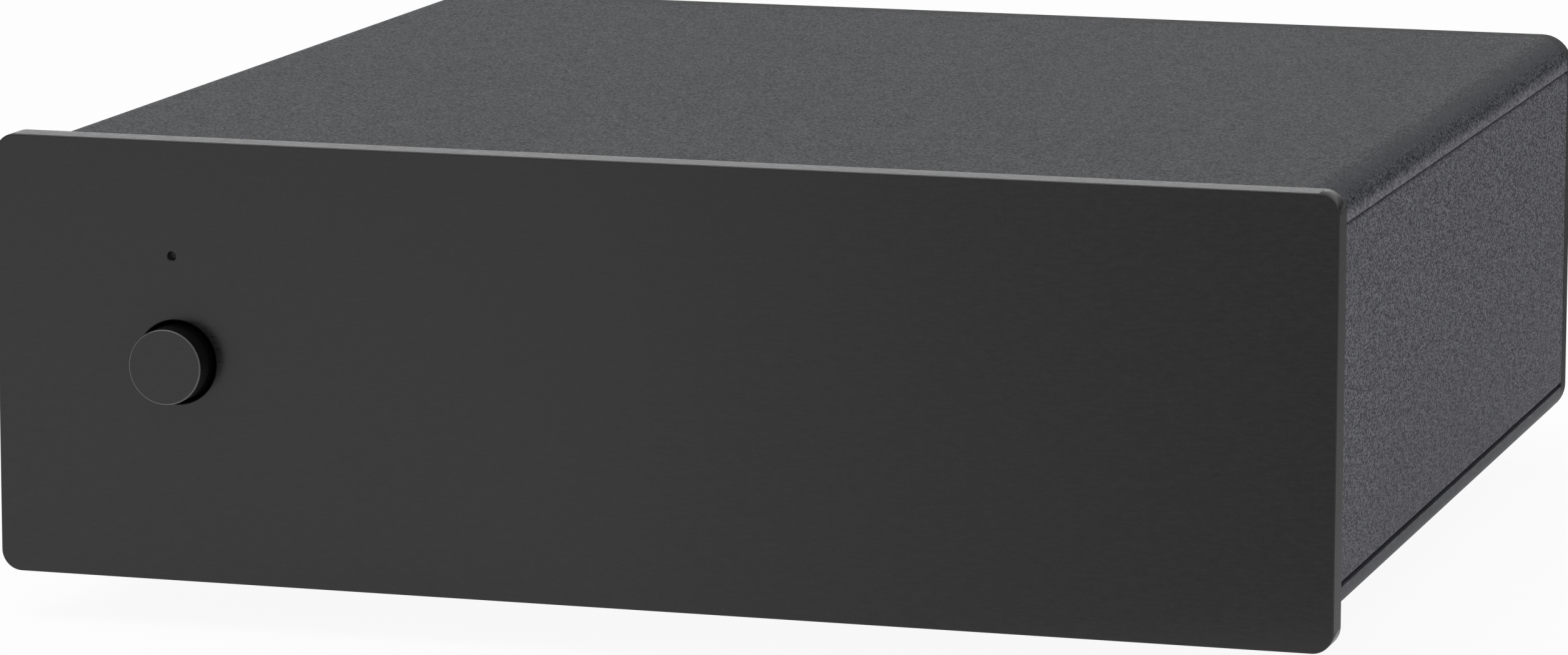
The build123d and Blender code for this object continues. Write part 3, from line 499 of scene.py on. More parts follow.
def brushedFinish(name, look):
    look = {**plainBrushed, **look}
    finish, tree, shader = newFinish(name, Metallic=look["metallic"])
    brush = useGroup(tree, "brush", Across=look["across"], Along=look["along"])
    grain = useGroup(tree, "grain", Scale=look["scale"], Coarse=look["coarse"])
    linePart = doMath(tree, "MULTIPLY", brush["Lines"], look["lineShare"])
    both = doMath(tree, "ADD", linePart, doMath(tree, "MULTIPLY", grain["Speckle"], look["grainShare"]))
    colour = addPatches(tree, speckled(tree, look, both), look)
    # side and edge colours: on the button a painted shade on its side and a painted rim highlight, on the panel
    # lighter sides that are partly a painted highlight
    if "edge" in look:
        edge = useGroup(tree, "edge")
        sides = mixColours(tree, grain["Speckle"], look["side"], look["sideLight"])
        colour = mixColours(tree, edge["Side"], colour, sides)
        colour = mixColours(tree, edge["Edge"], colour, look["edge"])
    rough = spread(tree, both, 0, 1, *look["roughness"])
    height = doMath(tree, "ADD", brush["Height"], doMath(tree, "MULTIPLY", grain["Height"], look["grainHeight"]))
    normal = addBump(tree, height, look["relief"], look["depth"])
    setInputs(shader, Base_Color=colour, Roughness=rough, Normal=normal)
    return finish


# Dark and light are the two ends of the grain, patch is the slow variation, and depth is that of the relief

brushedLooks = {
    "panel": {
        "material": "panelAnodised", "across": 5200.0, "along": 900.0, "scale": 5200.0,
        "dark": grey(0.001), "light": grey(0.010), "patch": grey(0.006),
        # the sides are lighter than the face: partly their rougher machined finish, partly a painted highlight on
        # the edges
        "side": (0.016, 0.016, 0.018), "sideLight": (0.034, 0.034, 0.039), "edge": grey(0.012),
        "roughness": (0.2, 0.3), "depth": 0.012 * mm},
    "button": {
        "material": "buttonAnodised", "across": 4600.0, "along": 900.0, "scale": 5200.0,
        "dark": grey(0.004), "light": grey(0.013), "patch": grey(0.008),
        # side is a painted shade, near black, on the cap's side; edge is a painted highlight on the rim
        "side": grey(0.0004), "sideLight": grey(0.0008), "edge": grey(0.10),
        "roughness": (0.24, 0.36), "relief": 0.4},
    "gold": {
        "material": "goldPlate", "metallic": 1.0, "across": 5000.0, "along": 5000.0, "scale": 6000.0,
        "dark": (0.78, 0.55, 0.22), "light": (0.95, 0.73, 0.36), "patch": (0.80, 0.56, 0.24),
        "roughness": (0.14, 0.26), "relief": 0.08, "depth": 0.01 * mm},
    "nickel": {
        "material": "nickelPlate", "metallic": 1.0, "across": 5000.0, "along": 5000.0, "scale": 6000.0,
        "dark": (0.50, 0.48, 0.45), "light": (0.66, 0.64, 0.60), "patch": (0.48, 0.46, 0.42),
        "roughness": (0.18, 0.32), "relief": 0.1, "depth": 0.01 * mm},
    "zincSteel": {
        "metallic": 1.0, "across": 3000.0, "along": 900.0, "scale": 4000.0,
        "dark": (0.36, 0.37, 0.38), "light": (0.52, 0.53, 0.54), "patch": (0.42, 0.42, 0.40),
        "roughness": (0.34, 0.5)},
    "springSteel": {
        "metallic": 1.0, "across": 6000.0, "along": 6000.0, "scale": 6000.0,
        "dark": (0.40, 0.39, 0.37), "light": (0.58, 0.57, 0.55), "patch": (0.4, 0.38, 0.34),
        "roughness": (0.22, 0.36), "relief": 0.1, "depth": 0.01 * mm},
}

grainyLooks = {
    "casePaint": {
        "dark": grey(0.004), "light": (0.132, 0.136, 0.154), "patch": (0.040, 0.042, 0.050),
        "roughness": (0.38, 0.60), "specular": 0.14, "scale": 5000.0, "coarse": 0.1, "stretch": 0.6,
        "relief": 1.0, "depth": 0.03 * mm,
        "levelShade": {  # painted shade from the paint's relief: the grain takes other colours on faces that point up, blended out where they slope away
            "dark": (0.036, 0.038, 0.039), "light": (0.100, 0.104, 0.114), "scale": 5200.0, "coarse": 0.15,
            "stretch": 0.4, "facing": (0.6, 0.98)},
        # painted highlight: the lighter grain colours of the strip along the covers' hems
        "hemHighlight": {
            "dark": (0.10, 0.10, 0.11), "light": (0.24, 0.24, 0.265), "width": 1.0 * mm, "soft": 0.3,
            "lowerShare": 0.35, "high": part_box("top_cover")[1].z - 2.7 * mm,
            "low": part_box("bottom_cover")[0].z + 2.6 * mm}},
    "railPaint": {
        "dark": (0.042, 0.042, 0.048), "light": (0.218, 0.220, 0.252), "patch": (0.10, 0.10, 0.115),
        "roughness": (0.46, 0.70), "specular": 0.22, "scale": 5600.0, "coarse": 0.15, "stretch": 0.45,
        "relief": 1.0, "depth": 0.2 * mm},
    "rearPaint": {
        "dark": (0.012, 0.012, 0.013), "light": (0.045, 0.045, 0.048), "patch": (0.03, 0.03, 0.032),
        "roughness": (0.42, 0.6), "scale": 5600.0, "relief": 0.5, "depth": 0.04 * mm},
    "rubber": {
        "material": "footRubber",
        "dark": grey(0.010), "light": grey(0.028), "patch": (0.04, 0.04, 0.038),
        "roughness": (0.65, 0.85), "relief": 0.5, "depth": 0.05 * mm},
    "blackPlastic": {
        "dark": (0.010, 0.010, 0.011), "light": (0.022, 0.022, 0.023), "patch": grey(0.03),
        "roughness": (0.32, 0.48), "scale": 4200.0, "relief": 0.3, "depth": 0.03 * mm},
    "whitePlastic": {
        "dark": (0.66, 0.65, 0.61), "light": (0.74, 0.73, 0.69), "patch": (0.62, 0.60, 0.54),
        "roughness": (0.3, 0.42), "relief": 0.15},
    "redPlastic": {
        "dark": (0.42, 0.012, 0.010), "light": (0.52, 0.018, 0.014), "patch": (0.36, 0.012, 0.01),
        "roughness": (0.3, 0.42), "relief": 0.15},
    "bluePlastic": {
        "dark": (0.012, 0.045, 0.20), "light": (0.018, 0.06, 0.26), "patch": (0.01, 0.04, 0.17),
        "roughness": (0.34, 0.48)},
    "relayPlastic": {
        "dark": (0.32, 0.12, 0.02), "light": (0.40, 0.16, 0.03), "patch": (0.30, 0.11, 0.02),
        "roughness": (0.28, 0.4), "relief": 0.15},
    "blackScrew": {
        "metallic": 0.6, "dark": (0.012, 0.012, 0.013), "light": (0.035, 0.035, 0.037), "patch": grey(0.05),
        "roughness": (0.3, 0.45), "scale": 6000.0},
    "ceramic": {
        "material": "resistorCeramic", "patchy": 0.15,
        "dark": (0.02, 0.02, 0.022), "light": (0.05, 0.05, 0.052), "patch": (0.3, 0.3, 0.29),
        "roughness": (0.35, 0.5), "scale": 5000.0},
    "heatsink": {
        "material": "heatsinkBlack", "metallic": 0.3,
        "dark": (0.010, 0.010, 0.011), "light": (0.030, 0.030, 0.032), "patch": grey(0.03),
        "roughness": (0.4, 0.55), "scale": 5200.0, "relief": 0.3},
}

finishes = {}
for make, looks in ((brushedFinish, brushedLooks), (grainyFinish, grainyLooks)):
    for name, look in looks.items():
        finishes[name] = make(look.get("material", name), look)
print("plain finishes made:", len(finishes))


def baseColour(tree, look):  # the grain, and the colour that follows it
    grain = useGroup(tree, "grain", Scale=look["scale"], Coarse=0.3)
    return grain, speckled(tree, look, grain["Speckle"])


def boardFinish(look):  # green lacquer with copper runs showing faintly through it
    finish, tree, shader = newFinish("boardLacquer", Roughness=look["roughness"])
    runs = addNode(tree, "ShaderNodeTexVoronoi", distance="CHEBYCHEV", feature="DISTANCE_TO_EDGE")
    setInputs(runs, Scale=look["runScale"], Vector=placeOf(tree))
    run = spread(tree, runs.outputs["Distance"], *look["runEdge"], 1.0, 0.0)
    lacquer = baseColour(tree, look)[1]
    normal = addBump(tree, run, look["relief"], look["depth"])
    setInputs(shader, Base_Color=mixColours(tree, run, lacquer, look["run"]), Normal=normal)
    return finish


def canFinish(name, look, topZ, boardTop):  # a sleeved can: bare metal on its top, tinned leads below
    finish, tree, shader = newFinish(name)
    height = partsOf(tree, placeOf(tree))[2]
    faceUp = doMath(tree, "GREATER_THAN", partsOf(tree, normalOf(tree))[2], look["upward"])
    atTop = doMath(tree, "GREATER_THAN", height, topZ - look["topBand"])
    belowBoard = doMath(tree, "LESS_THAN", height, boardTop)
    bare = doMath(tree, "MAXIMUM", doMath(tree, "MULTIPLY", faceUp, atTop), belowBoard)
    grain, sleeve = baseColour(tree, look)
    rough = spread(tree, grain["Speckle"], 0, 1, *look["roughness"])
    normal = addBump(tree, grain["Height"], look["relief"], look["depth"])
    colour = mixColours(tree, bare, sleeve, look["metal"])
    setInputs(shader, Base_Color=colour, Metallic=bare, Roughness=rough, Normal=normal)
    return finish


def windingFinish(look, coreLow, coreHigh):  # copper turns between two ferrite flanges
    finish, tree, shader = newFinish("chokeWinding", Roughness=look["roughness"])
    height = partsOf(tree, placeOf(tree))[2]
    above = doMath(tree, "GREATER_THAN", height, coreLow)
    below = doMath(tree, "LESS_THAN", height, coreHigh)
    wound = doMath(tree, "MULTIPLY", above, below)
    turns = doMath(tree, "SINE", doMath(tree, "MULTIPLY", height, 2 * math.pi / look["wire"]))
    ferrite = baseColour(tree, look)[1]
    colour = mixColours(tree, wound, ferrite, look["copper"])
    normal = addBump(tree, doMath(tree, "MULTIPLY", turns, wound), look["relief"], look["depth"])
    setInputs(shader, Base_Color=colour, Metallic=wound, Normal=normal)
    return finish


def lampFinish(look):
    finish, tree, shader = newFinish("lampClear", Transmission_Weight=look["clear"])
    grain, colour = baseColour(tree, look)
    setInputs(shader, Base_Color=colour, Roughness=spread(tree, grain["Speckle"], 0, 1, *look["roughness"]))
    return finish


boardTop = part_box("main_board")[1].z
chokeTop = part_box("supply_choke")[1].z
flange = 1.5 * mm
noBareTop = 1.0  # a height far above the piece, so that its top isn't bare
finishes["board"] = boardFinish({
    "roughness": 0.35, "runScale": 260.0, "runEdge": (0.06, 0.09), "relief": 0.3, "depth": 0.03 * mm,
    "dark": (0.004, 0.05, 0.020), "light": (0.006, 0.07, 0.028), "run": (0.02, 0.15, 0.06), "scale": 3000.0})
sleeveLook = {
    "dark": (0.010, 0.012, 0.02), "light": (0.018, 0.02, 0.03), "metal": grey(0.62), "scale": 4000.0,
    "roughness": (0.28, 0.4), "relief": 0.2, "depth": 0.02 * mm, "topBand": 0.3 * mm, "upward": 0.7}
boxLook = {**sleeveLook, "dark": (0.25, 0.03, 0.02), "light": (0.32, 0.045, 0.03), "metal": grey(0.6)}
for size in ("large", "small"):
    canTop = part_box(f"{size}_capacitors")[1].z
    finishes[f"{size}Can"] = canFinish(f"{size}CanSleeve", sleeveLook, canTop, boardTop)
finishes["filmBox"] = canFinish("filmBox", boxLook, noBareTop, boardTop)
finishes["winding"] = windingFinish({
    "wire": 0.36 * mm, "roughness": 0.4, "relief": 0.6, "depth": 0.05 * mm, "scale": 3600.0,
    "dark": grey(0.02), "light": grey(0.05), "copper": (0.72, 0.28, 0.12)},
    boardTop + flange, chokeTop - flange)
finishes["lamp"] = lampFinish({
    "dark": (0.72, 0.74, 0.76), "light": (0.82, 0.84, 0.86), "roughness": (0.08, 0.16), "clear": 0.6,
    "scale": 3000.0})
print("finishes made:", len(finishes))


# Dressing


def dress(piece, finishName, body, *replaced):
    piece.data.materials.clear()
    piece.data.materials.append(finishes[finishName])
    for polygon in piece.data.polygons:
        polygon.material_index = 0
    if replaced:
        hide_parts(*replaced)
    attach(piece, body)
    return piece


def bodyOf(node):
    return frame["nodes"][node]["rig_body"]


def standFor(piece, finishName, node):
    return dress(piece, finishName, bodyOf(node), node)


# Front panel: a thick plate with rounded corners, a bore for the button and a pinhole for the light

frontPanel = {
    "cornerRadius": 1.6 * mm, "cornerSteps": 16, "edgeBreak": 0.12 * mm, "boreGap": 0.29 * mm, "boreSides": 128,
    "pinholeRadius": 0.33 * mm, "pinholeWall": 0.8 * mm, "pocketRadius": 1.75 * mm, "pocketSides": 48,
    "screwHoleRadius": 1.28 * mm, "screwHoleDepth": 1.75 * mm, "screwX": 28.0 * mm, "screwZ": 11.0 * mm,
    "holeSides": 32,
}


def makeFrontPanel():
    low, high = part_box("front_panel")
    plate = addBlock("frontPanel", low, high)
    roundEdges(plate, lambda edge: runsAlong(edge, 1), frontPanel["cornerRadius"], frontPanel["cornerSteps"])
    buttonLow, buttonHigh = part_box("power_button")
    button, lamp = middleOf("power_button"), middleOf("status_led")
    bore = (buttonHigh.x - buttonLow.x) / 2 + frontPanel["boreGap"]
    drill(plate, button.x, button.z, bore, low.y - past, high.y + past, frontPanel["boreSides"])
    drill(plate, lamp.x, lamp.z, frontPanel["pinholeRadius"], low.y - past, high.y, frontPanel["holeSides"])
    pocketStart = low.y + frontPanel["pinholeWall"]
    drill(plate, lamp.x, lamp.z, frontPanel["pocketRadius"], pocketStart, high.y + past, frontPanel["pocketSides"])
    middle = (low.z + high.z) / 2
    start = high.y - frontPanel["screwHoleDepth"]
    for side in (-1, 1):
        for level in (-1, 1):
            x, z = side * frontPanel["screwX"], middle + level * frontPanel["screwZ"]
            drill(plate, x, z, frontPanel["screwHoleRadius"], start, high.y + past, frontPanel["holeSides"])
    softenEdges(plate, frontPanel["edgeBreak"], 3)
    standFor(plate, "panel", "front_panel")


# Power button: a turned cap, with a painted highlight on its rim and painted shade on its side, socketed onto the
# switch's plunger

powerButton = {"sides": 128, "rimBreak": 0.15 * mm, "socketFit": 0.05 * mm, "socketDepth": 2.8 * mm,
               "stemSide": 2.8 * mm}


def makePowerButton():
    low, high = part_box("power_button")
    middle = middleOf("power_button")
    cap = addRod("powerButton", middle.x, middle.z, (high.x - low.x) / 2, low.y, high.y, powerButton["sides"])
    roundEdges(cap, lambda edge: edgeMiddle(edge).y < low.y + near, powerButton["rimBreak"], 3)
    half = powerButton["stemSide"] / 2 + powerButton["socketFit"]
    start = high.y - powerButton["socketDepth"]
    socketEnd = (middle.x + half, high.y + past, middle.z + half)
    cutAway(cap, addBlock("stemSocket", (middle.x - half, start, middle.z - half), socketEnd))
    smoothFaces(cap)
    standFor(cap, "button", "power_button")


# Return spring behind the button

returnSpring = {"wire": 0.4 * mm, "wireSides": 12, "turns": 5, "steps": 40, "travel": 2.0 * mm}


def makeReturnSpring():
    low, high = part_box("switch_spring")
    middle = middleOf("switch_spring")
    wire = returnSpring["wire"]
    coil = (high.x - low.x - wire) / 2
    pitch = (high.y - low.y - wire) / returnSpring["turns"]
    clearSelection()
    bpy.ops.mesh.primitive_circle_add(
        vertices=returnSpring["wireSides"], radius=wire / 2, location=(coil, low.y + wire / 2, 0)
    )
    spring = settle(bpy.context.object, "returnSpring")
    sweepScrew(spring, pitch, returnSpring["turns"], returnSpring["steps"])
    startEditing(spring, "VERT")
    mergeDoubles(weldGap)
    selectAll()
    bpy.ops.mesh.fill_holes(sides=0)
    selectAll()
    faceOutAt(middle.x, middle.z)
    smoothFaces(spring, roundAngle)
    standFor(spring, "springSteel", "switch_spring")
    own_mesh(spring)


# Covers: a thin shell with rounded edges, whose hooks run in the rails' grooves

covers = {
    "edgeRadius": 2.5 * mm, "edgeSteps": 14, "sheet": 1.2 * mm, "topDrop": 2.74 * mm, "bottomDrop": 2.6 * mm,
    "edgeBreak": 0.05 * mm, "hookFromSide": 2.5 * mm, "hookWeb": 0.9 * mm, "tongueFromSide": 1.5 * mm,
    "tongueHeight": 0.8 * mm, "bite": 0.3 * mm, "windowSide": 0.37 * mm, "windowLength": 7.0 * mm,
    "windowDepth": 2.0 * mm, "windowCorner": 1.0 * mm, "windowSteps": 8,
}


def makeCover(name, node, up):  # up is 1 for the top cover and -1 for the bottom one
    low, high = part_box(node)
    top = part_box("top_cover")[1].z
    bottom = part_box("bottom_cover")[0].z
    side = high.x
    face, drop, hookEnd = (top, covers["topDrop"], low.z) if up > 0 else (bottom, covers["bottomDrop"], high.z)
    sheet = addBlock(name, (-side, low.y, bottom), (side, high.y, top))
    roundEdges(sheet, lambda edge: runsAlong(edge, 1), covers["edgeRadius"], covers["edgeSteps"])
    selectFaces(sheet, lambda one: abs(one.normal.y) > 0.9)
    bpy.ops.mesh.delete(type="FACE")
    selectAll()
    bpy.ops.mesh.bisect(plane_co=(0, 0, face - up * drop), plane_no=(0, 0, up), clear_inner=True)
    stopEditing()
    applyModifier(sheet, "SOLIDIFY", thickness=covers["sheet"], offset=-1.0, use_even_offset=True)
    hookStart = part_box("front_bulkhead")[1].y
    webEnd = face - up * covers["sheet"] + up * covers["bite"]
    tongueEnd = hookEnd + up * covers["tongueHeight"]
    for s in (-1, 1):
        outer = s * (side - covers["hookFromSide"])
        inner = outer - s * covers["hookWeb"]
        tongueX = s * (side - covers["tongueFromSide"])
        web = addBetween("hookWeb", (outer, hookStart, hookEnd), (inner, high.y, webEnd))
        weld(web, addBetween("hookTongue", (inner, hookStart, hookEnd), (tongueX, high.y, tongueEnd)))
        weld(sheet, web)
    if up < 0:
        for body in ("left_setting_body", "right_setting_body"):
            cutWindow(sheet, body, bottom)
    softenEdges(sheet, covers["edgeBreak"], 2, wideAngle)
    standFor(sheet, "casePaint", node)


def cutWindow(sheet, body, bottom):  # with rounded corners, under a setting switch
    low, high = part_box(body)
    centre = middleOf(body)
    halfX = (high.x - low.x) / 2 + covers["windowSide"]
    halfY = covers["windowLength"] / 2
    windowEnd = (centre.x + halfX, centre.y + halfY, bottom + covers["windowDepth"])
    window = addBlock("window", (centre.x - halfX, centre.y - halfY, bottom - past), windowEnd)
    roundEdges(window, lambda edge: runsAlong(edge, 2), covers["windowCorner"], covers["windowSteps"])
    cutAway(sheet, window)


# Side rails and the rear panel keep their packed sections, with their edges broken

caseRest = {"railBreak": 0.06 * mm, "railShoulder": 0.3 * mm, "rearBreak": 0.1 * mm}


def makeRails():
    for node, name in (("left_side_rail", "leftSideRail"), ("right_side_rail", "rightSideRail")):
        rail = copyNode(node, name)
        outer = max(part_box(node), key=lambda corner: abs(corner.x)).x
        top = max(corner.co.z for corner in rail.data.vertices if abs(corner.co.x - outer) < near)
        shoulder = (outer, top)
        roundEdges(rail, lambda edge: runsAlong(edge, 1) and liesOn(edge, *shoulder), caseRest["railShoulder"], 4)
        softenEdges(rail, caseRest["railBreak"], 2, wideAngle)
        standFor(rail, "railPaint", node)


def liesOn(edge, x, z):
    return all(abs(corner.co.x - x) < near and abs(corner.co.z - z) < near for corner in edge.verts)


def makeRearPanel():
    plate = copyNode("rear_panel", "rearPanel")
    softenEdges(plate, caseRest["rearBreak"], 2, wideAngle)
    standFor(plate, "rearPaint", "rear_panel")


# Feet: tapered rubber pads with a moulding dimple underneath

feet = {"sides": 72, "taper": 0.4 * mm, "edgeRadius": 0.5 * mm, "edgeSteps": 5,
        "dimpleRadius": 1.4 * mm, "dimpleDepth": 0.5 * mm, "dimpleSoft": 0.12 * mm}


def makeFeet():
    for end in ("front", "rear"):
        for side in ("left", "right"):
            node = f"{end}_{side}_foot"
            low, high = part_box(node)
            middle = middleOf(node)
            radius = (high.x - low.x) / 2
            pad = addPost(f"{end}{side.title()}Foot", middle.x, middle.y, radius, low.z, high.z, feet["sides"])
            selectFaces(pad, lambda face: face.normal.z < -0.9)
            shrink = 1 - feet["taper"] / radius
            pivot = (middle.x, middle.y, low.z)
            bpy.ops.transform.resize(value=(shrink, shrink, 1), center_override=pivot)
            bpy.ops.mesh.inset(thickness=radius - feet["taper"] - feet["dimpleRadius"], depth=0)
            bpy.ops.mesh.extrude_region_move(TRANSFORM_OT_translate={"value": (0, 0, feet["dimpleDepth"])})
            stopEditing()
            rim = radius - feet["taper"]
            roundEdges(pad, lambda edge: isBottomRim(edge, pivot, rim), feet["edgeRadius"], feet["edgeSteps"])
            softenEdges(pad, feet["dimpleSoft"], 2, roundAngle)
            standFor(pad, "rubber", node)


def isBottomRim(edge, pivot, radius):
    return all(
        abs(corner.co.z - pivot[2]) < near
        and abs((corner.co.xy - Vector(pivot[:2])).length - radius) < 2 * near
        for corner in edge.verts
    )


# Phono sockets: plated shells with a rolled mouth, and coloured insulators inside them

sockets = {
    "sides": 72, "barrelRadius": 4.15 * mm, "bore": 3.4 * mm, "neckRadius": 4.4 * mm, "flangeRadius": 4.9 * mm,
    "flange": 0.8 * mm, "seat": 4.0 * mm, "mouthBreak": 0.14 * mm, "insulatorRadius": 3.35 * mm,
    "insulatorStart": 2.0 * mm, "insulatorRecess": 0.6 * mm, "insulatorBore": 2.05 * mm,
    "insulatorBreak": 0.1 * mm, "insulatorSides": 56, "contactSeat": 1.85 * mm, "contactRecess": 3.0 * mm,
    "ringGroove": 0.25 * mm, "tailHalf": 0.5 * mm, "tailThickness": 0.4 * mm, "tailBite": 0.4 * mm,
}


def makeSockets():
    insulators = {"white": [], "red": []}
    for pair in ("input", "output"):
        for channel, colour in (("left", "white"), ("right", "red")):
            insulators[colour].append(makeShell(pair, channel))
    for colour, pieces in insulators.items():
        node = f"{colour}_insulators"
        both = joinPieces(f"{colour}Insulators", pieces)
        softenEdges(both, sockets["insulatorBreak"], 2, wideAngle)
        standFor(both, f"{colour}Plastic", node)


def makeShell(pair, channel):  # and the insulator that sits in it, which is given back
    rearInner, rearFace = (corner.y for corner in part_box("rear_panel"))
    node = f"{pair}_{channel}_shell"
    low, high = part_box(node)
    x, z = middleOf(node).x, high.z - sockets["flangeRadius"]
    start, flangeStart, end = rearInner - sockets["seat"], rearInner - sockets["flange"], high.y
    bore, barrel, flange, neck = (sockets[key] for key in ("bore", "barrelRadius", "flangeRadius", "neckRadius"))
    outline = [
        (bore, start), (barrel, start), (barrel, flangeStart), (flange, flangeStart), (flange, rearInner),
        (neck, rearInner), (neck, rearFace), (barrel, rearFace), (barrel, end), (bore, end),
    ]
    shell = turnOutline(f"{pair}{channel.title()}Shell", outline, x, z, sockets["sides"])
    half = sockets["tailHalf"]
    tailEnd = (x + half, start + sockets["tailThickness"], z - barrel + sockets["tailBite"])
    weld(shell, addBlock("tail", (x - half, start, low.z), tailEnd))
    softenEdges(shell, sockets["mouthBreak"], 3, wideAngle)
    standFor(shell, "gold", node)
    return makeInsulator(x, z, rearInner, end)


def makeInsulator(x, z, rearInner, shellEnd):
    front = rearInner - sockets["insulatorStart"]
    end = shellEnd - sockets["insulatorRecess"]
    seatEnd = shellEnd - sockets["contactRecess"]
    outer, bore, seat = sockets["insulatorRadius"], sockets["insulatorBore"], sockets["contactSeat"]
    groove = sockets["ringGroove"]
    ring = (outer + bore) / 2
    outline = [
        (seat, front), (outer, front), (outer, end), (ring + groove, end), (ring + groove, end - groove),
        (ring - groove, end - groove), (ring - groove, end), (bore, end), (bore, seatEnd), (seat, seatEnd),
    ]
    return turnOutline("insulator", outline, x, z, sockets["insulatorSides"])


# Earth terminal: a threaded stud on a hexagon collar, a washer and a knurled nut

earthPost = {
    "studRadius": 2.0 * mm, "rootRadius": 1.68 * mm, "pitch": 0.7 * mm, "threadSteps": 36, "spareTurns": 2,
    "threadFrom": 0.2 * mm, "threadTo": 0.3 * mm, "coreSides": 48, "tipGap": 0.03 * mm, "tipSides": 36,
    "tipBreak": 0.2 * mm, "collarSides": 6, "collarAcrossFlats": 7.0 * mm, "collarThickness": 2.4 * mm,
    "collarBreak": 0.25 * mm, "washerBreak": 0.08 * mm,
    "hubRadius": 3.6 * mm, "hubLength": 1.2 * mm, "hubSides": 72, "hubBite": 0.5 * mm, "boreRadius": 2.05 * mm,
    "knurls": 36, "knurlDepth": 0.3 * mm, "nutBreak": 0.09 * mm, "nutAngle": 38,
}


def makeThread(x, z, start, end):
    root, crest, pitch = earthPost["rootRadius"], earthPost["studRadius"], earthPost["pitch"]
    first = start - earthPost["spareTurns"] * pitch
    shares = ((root, 0.0), (root, 0.08), (crest, 0.44), (crest, 0.56), (root, 0.92), (root, 1.0))
    thread = drawOutline("groundStud", [(radius, first + share * pitch) for radius, share in shares])
    turns = math.ceil((end - first) / pitch) + earthPost["spareTurns"]
    sweepScrew(thread, pitch, turns, earthPost["threadSteps"])
    startEditing(thread, "VERT")
    for place, normal in ((start, -1), (end, 1)):
        selectAll()
        bpy.ops.mesh.bisect(plane_co=(0, place, 0), plane_no=(0, normal, 0), use_fill=True, clear_outer=True)
    mergeDoubles(weldGap)
    faceOutAt(x, z)
    return thread


def makeEarthPost():
    low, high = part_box("ground_stud")
    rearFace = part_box("rear_panel")[1].y
    x, z = (low.x + high.x) / 2, (low.z + high.z) / 2
    collarEnd = rearFace + earthPost["collarThickness"]
    stud = makeThread(x, z, collarEnd - earthPost["threadFrom"], high.y - earthPost["threadTo"])
    core = addRod("studCore", x, z, earthPost["studRadius"], low.y, collarEnd, earthPost["coreSides"])
    tipRadius = earthPost["rootRadius"] - earthPost["tipGap"]
    tip = addRod("studTip", x, z, tipRadius, collarEnd, high.y, earthPost["tipSides"])
    half = earthPost["collarAcrossFlats"] / 2 / math.cos(math.pi / earthPost["collarSides"])
    collar = addRod("collar", x, z, half, rearFace, collarEnd, earthPost["collarSides"])
    softenEdges(collar, earthPost["collarBreak"])
    weld(core, collar)
    smoothFaces(core)
    smoothFaces(stud, roundAngle)
    softenEdges(tip, earthPost["tipBreak"])
    post = joinPieces("groundStud", [stud, core, tip])
    standFor(post, "nickel", "ground_stud")
    washer = copyNode("ground_washer", "groundWasher")
    softenEdges(washer, earthPost["washerBreak"])
    standFor(washer, "nickel", "ground_washer")
    makeThumbNut(x, z)


def makeThumbNut(x, z):
    low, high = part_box("ground_thumb_nut")
    hubEnd = low.y + earthPost["hubLength"]
    sides = 4 * earthPost["knurls"]
    nut = addRod("thumbNut", x, z, (high.z - low.z) / 2, hubEnd, high.y, sides)
    selectFaces(nut, lambda face: isGroove(face, x, z, 2 * math.pi / sides))
    bpy.ops.mesh.extrude_region_shrink_fatten(TRANSFORM_OT_shrink_fatten={"value": -earthPost["knurlDepth"]})
    stopEditing()
    hubReach = hubEnd + earthPost["hubBite"]
    weld(nut, addRod("hub", x, z, earthPost["hubRadius"], low.y, hubReach, earthPost["hubSides"]))
    drill(nut, x, z, earthPost["boreRadius"], low.y - past, high.y + past)
    softenEdges(nut, earthPost["nutBreak"], 2, earthPost["nutAngle"])
    standFor(nut, "nickel", "ground_thumb_nut")


def isGroove(face, x, z, step):
    if abs(face.normal.y) > 0.5:
        return False
    middle = face.calc_center_median()
    turn = math.atan2(middle.z - z, middle.x - x) % (2 * math.pi)
    return int(turn / step) % 4 in (0, 1)


# Power inlet, screws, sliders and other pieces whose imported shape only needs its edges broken

brokenEdges = {  # each node's new piece, its finish and how far its edges are broken
    "dc_jack_body": ("powerInlet", "blackPlastic", 0.12 * mm),
    "rear_panel_screws": ("rearPanelScrews", "blackScrew", 0.06 * mm),
    "socket_block_screws": ("socketBlockScrews", "blackScrew", 0.1 * mm),
    "left_setting_body": ("leftSettingBody", "bluePlastic", 0.05 * mm),
    "right_setting_body": ("rightSettingBody", "bluePlastic", 0.05 * mm),
    "dc_jack_pin": ("powerInletPin", "nickel", 0.08 * mm),
    "input_socket_block": ("inputSocketBlock", "blackPlastic", 0.12 * mm),
    "output_socket_block": ("outputSocketBlock", "blackPlastic", 0.12 * mm),
    "mute_relay": ("muteRelay", "relayPlastic", 0.08 * mm),
    "regulator_heatsink": ("regulatorHeatsink", "heatsink", 0.08 * mm),
}
for side in ("left", "right"):
    for way in range(1, 5):
        brokenEdges[f"{side}_slider_{way}"] = (f"{side}Slider{way}", "whitePlastic", 0.08 * mm)


def makeBrokenEdges():
    for node, (name, finishName, width) in brokenEdges.items():
        piece = copyNode(node, name, quartered=True)
        softenEdges(piece, width, 2, wideAngle)
        standFor(piece, finishName, node)


# Marks on the setting switches: the ways' numbers and ON, printed beside the sliders

settingMarks = {"letterSize": 1.4 * mm, "thickness": 0.02 * mm, "fromSlot": 2.75 * mm}


def addMark(text, x, y, z):
    clearSelection()
    bpy.ops.object.text_add(location=(x, y, z), rotation=(math.pi, 0, 0))
    letters = bpy.context.object.data
    letters.body = text
    letters.size = settingMarks["letterSize"]
    letters.align_x = letters.align_y = "CENTER"
    letters.extrude = settingMarks["thickness"] / 2
    bpy.ops.object.convert(target="MESH")
    mark = settle(bpy.context.object, "mark")
    startEditing(mark, "VERT")
    mergeDoubles(mergeGap)
    stopEditing()
    return mark


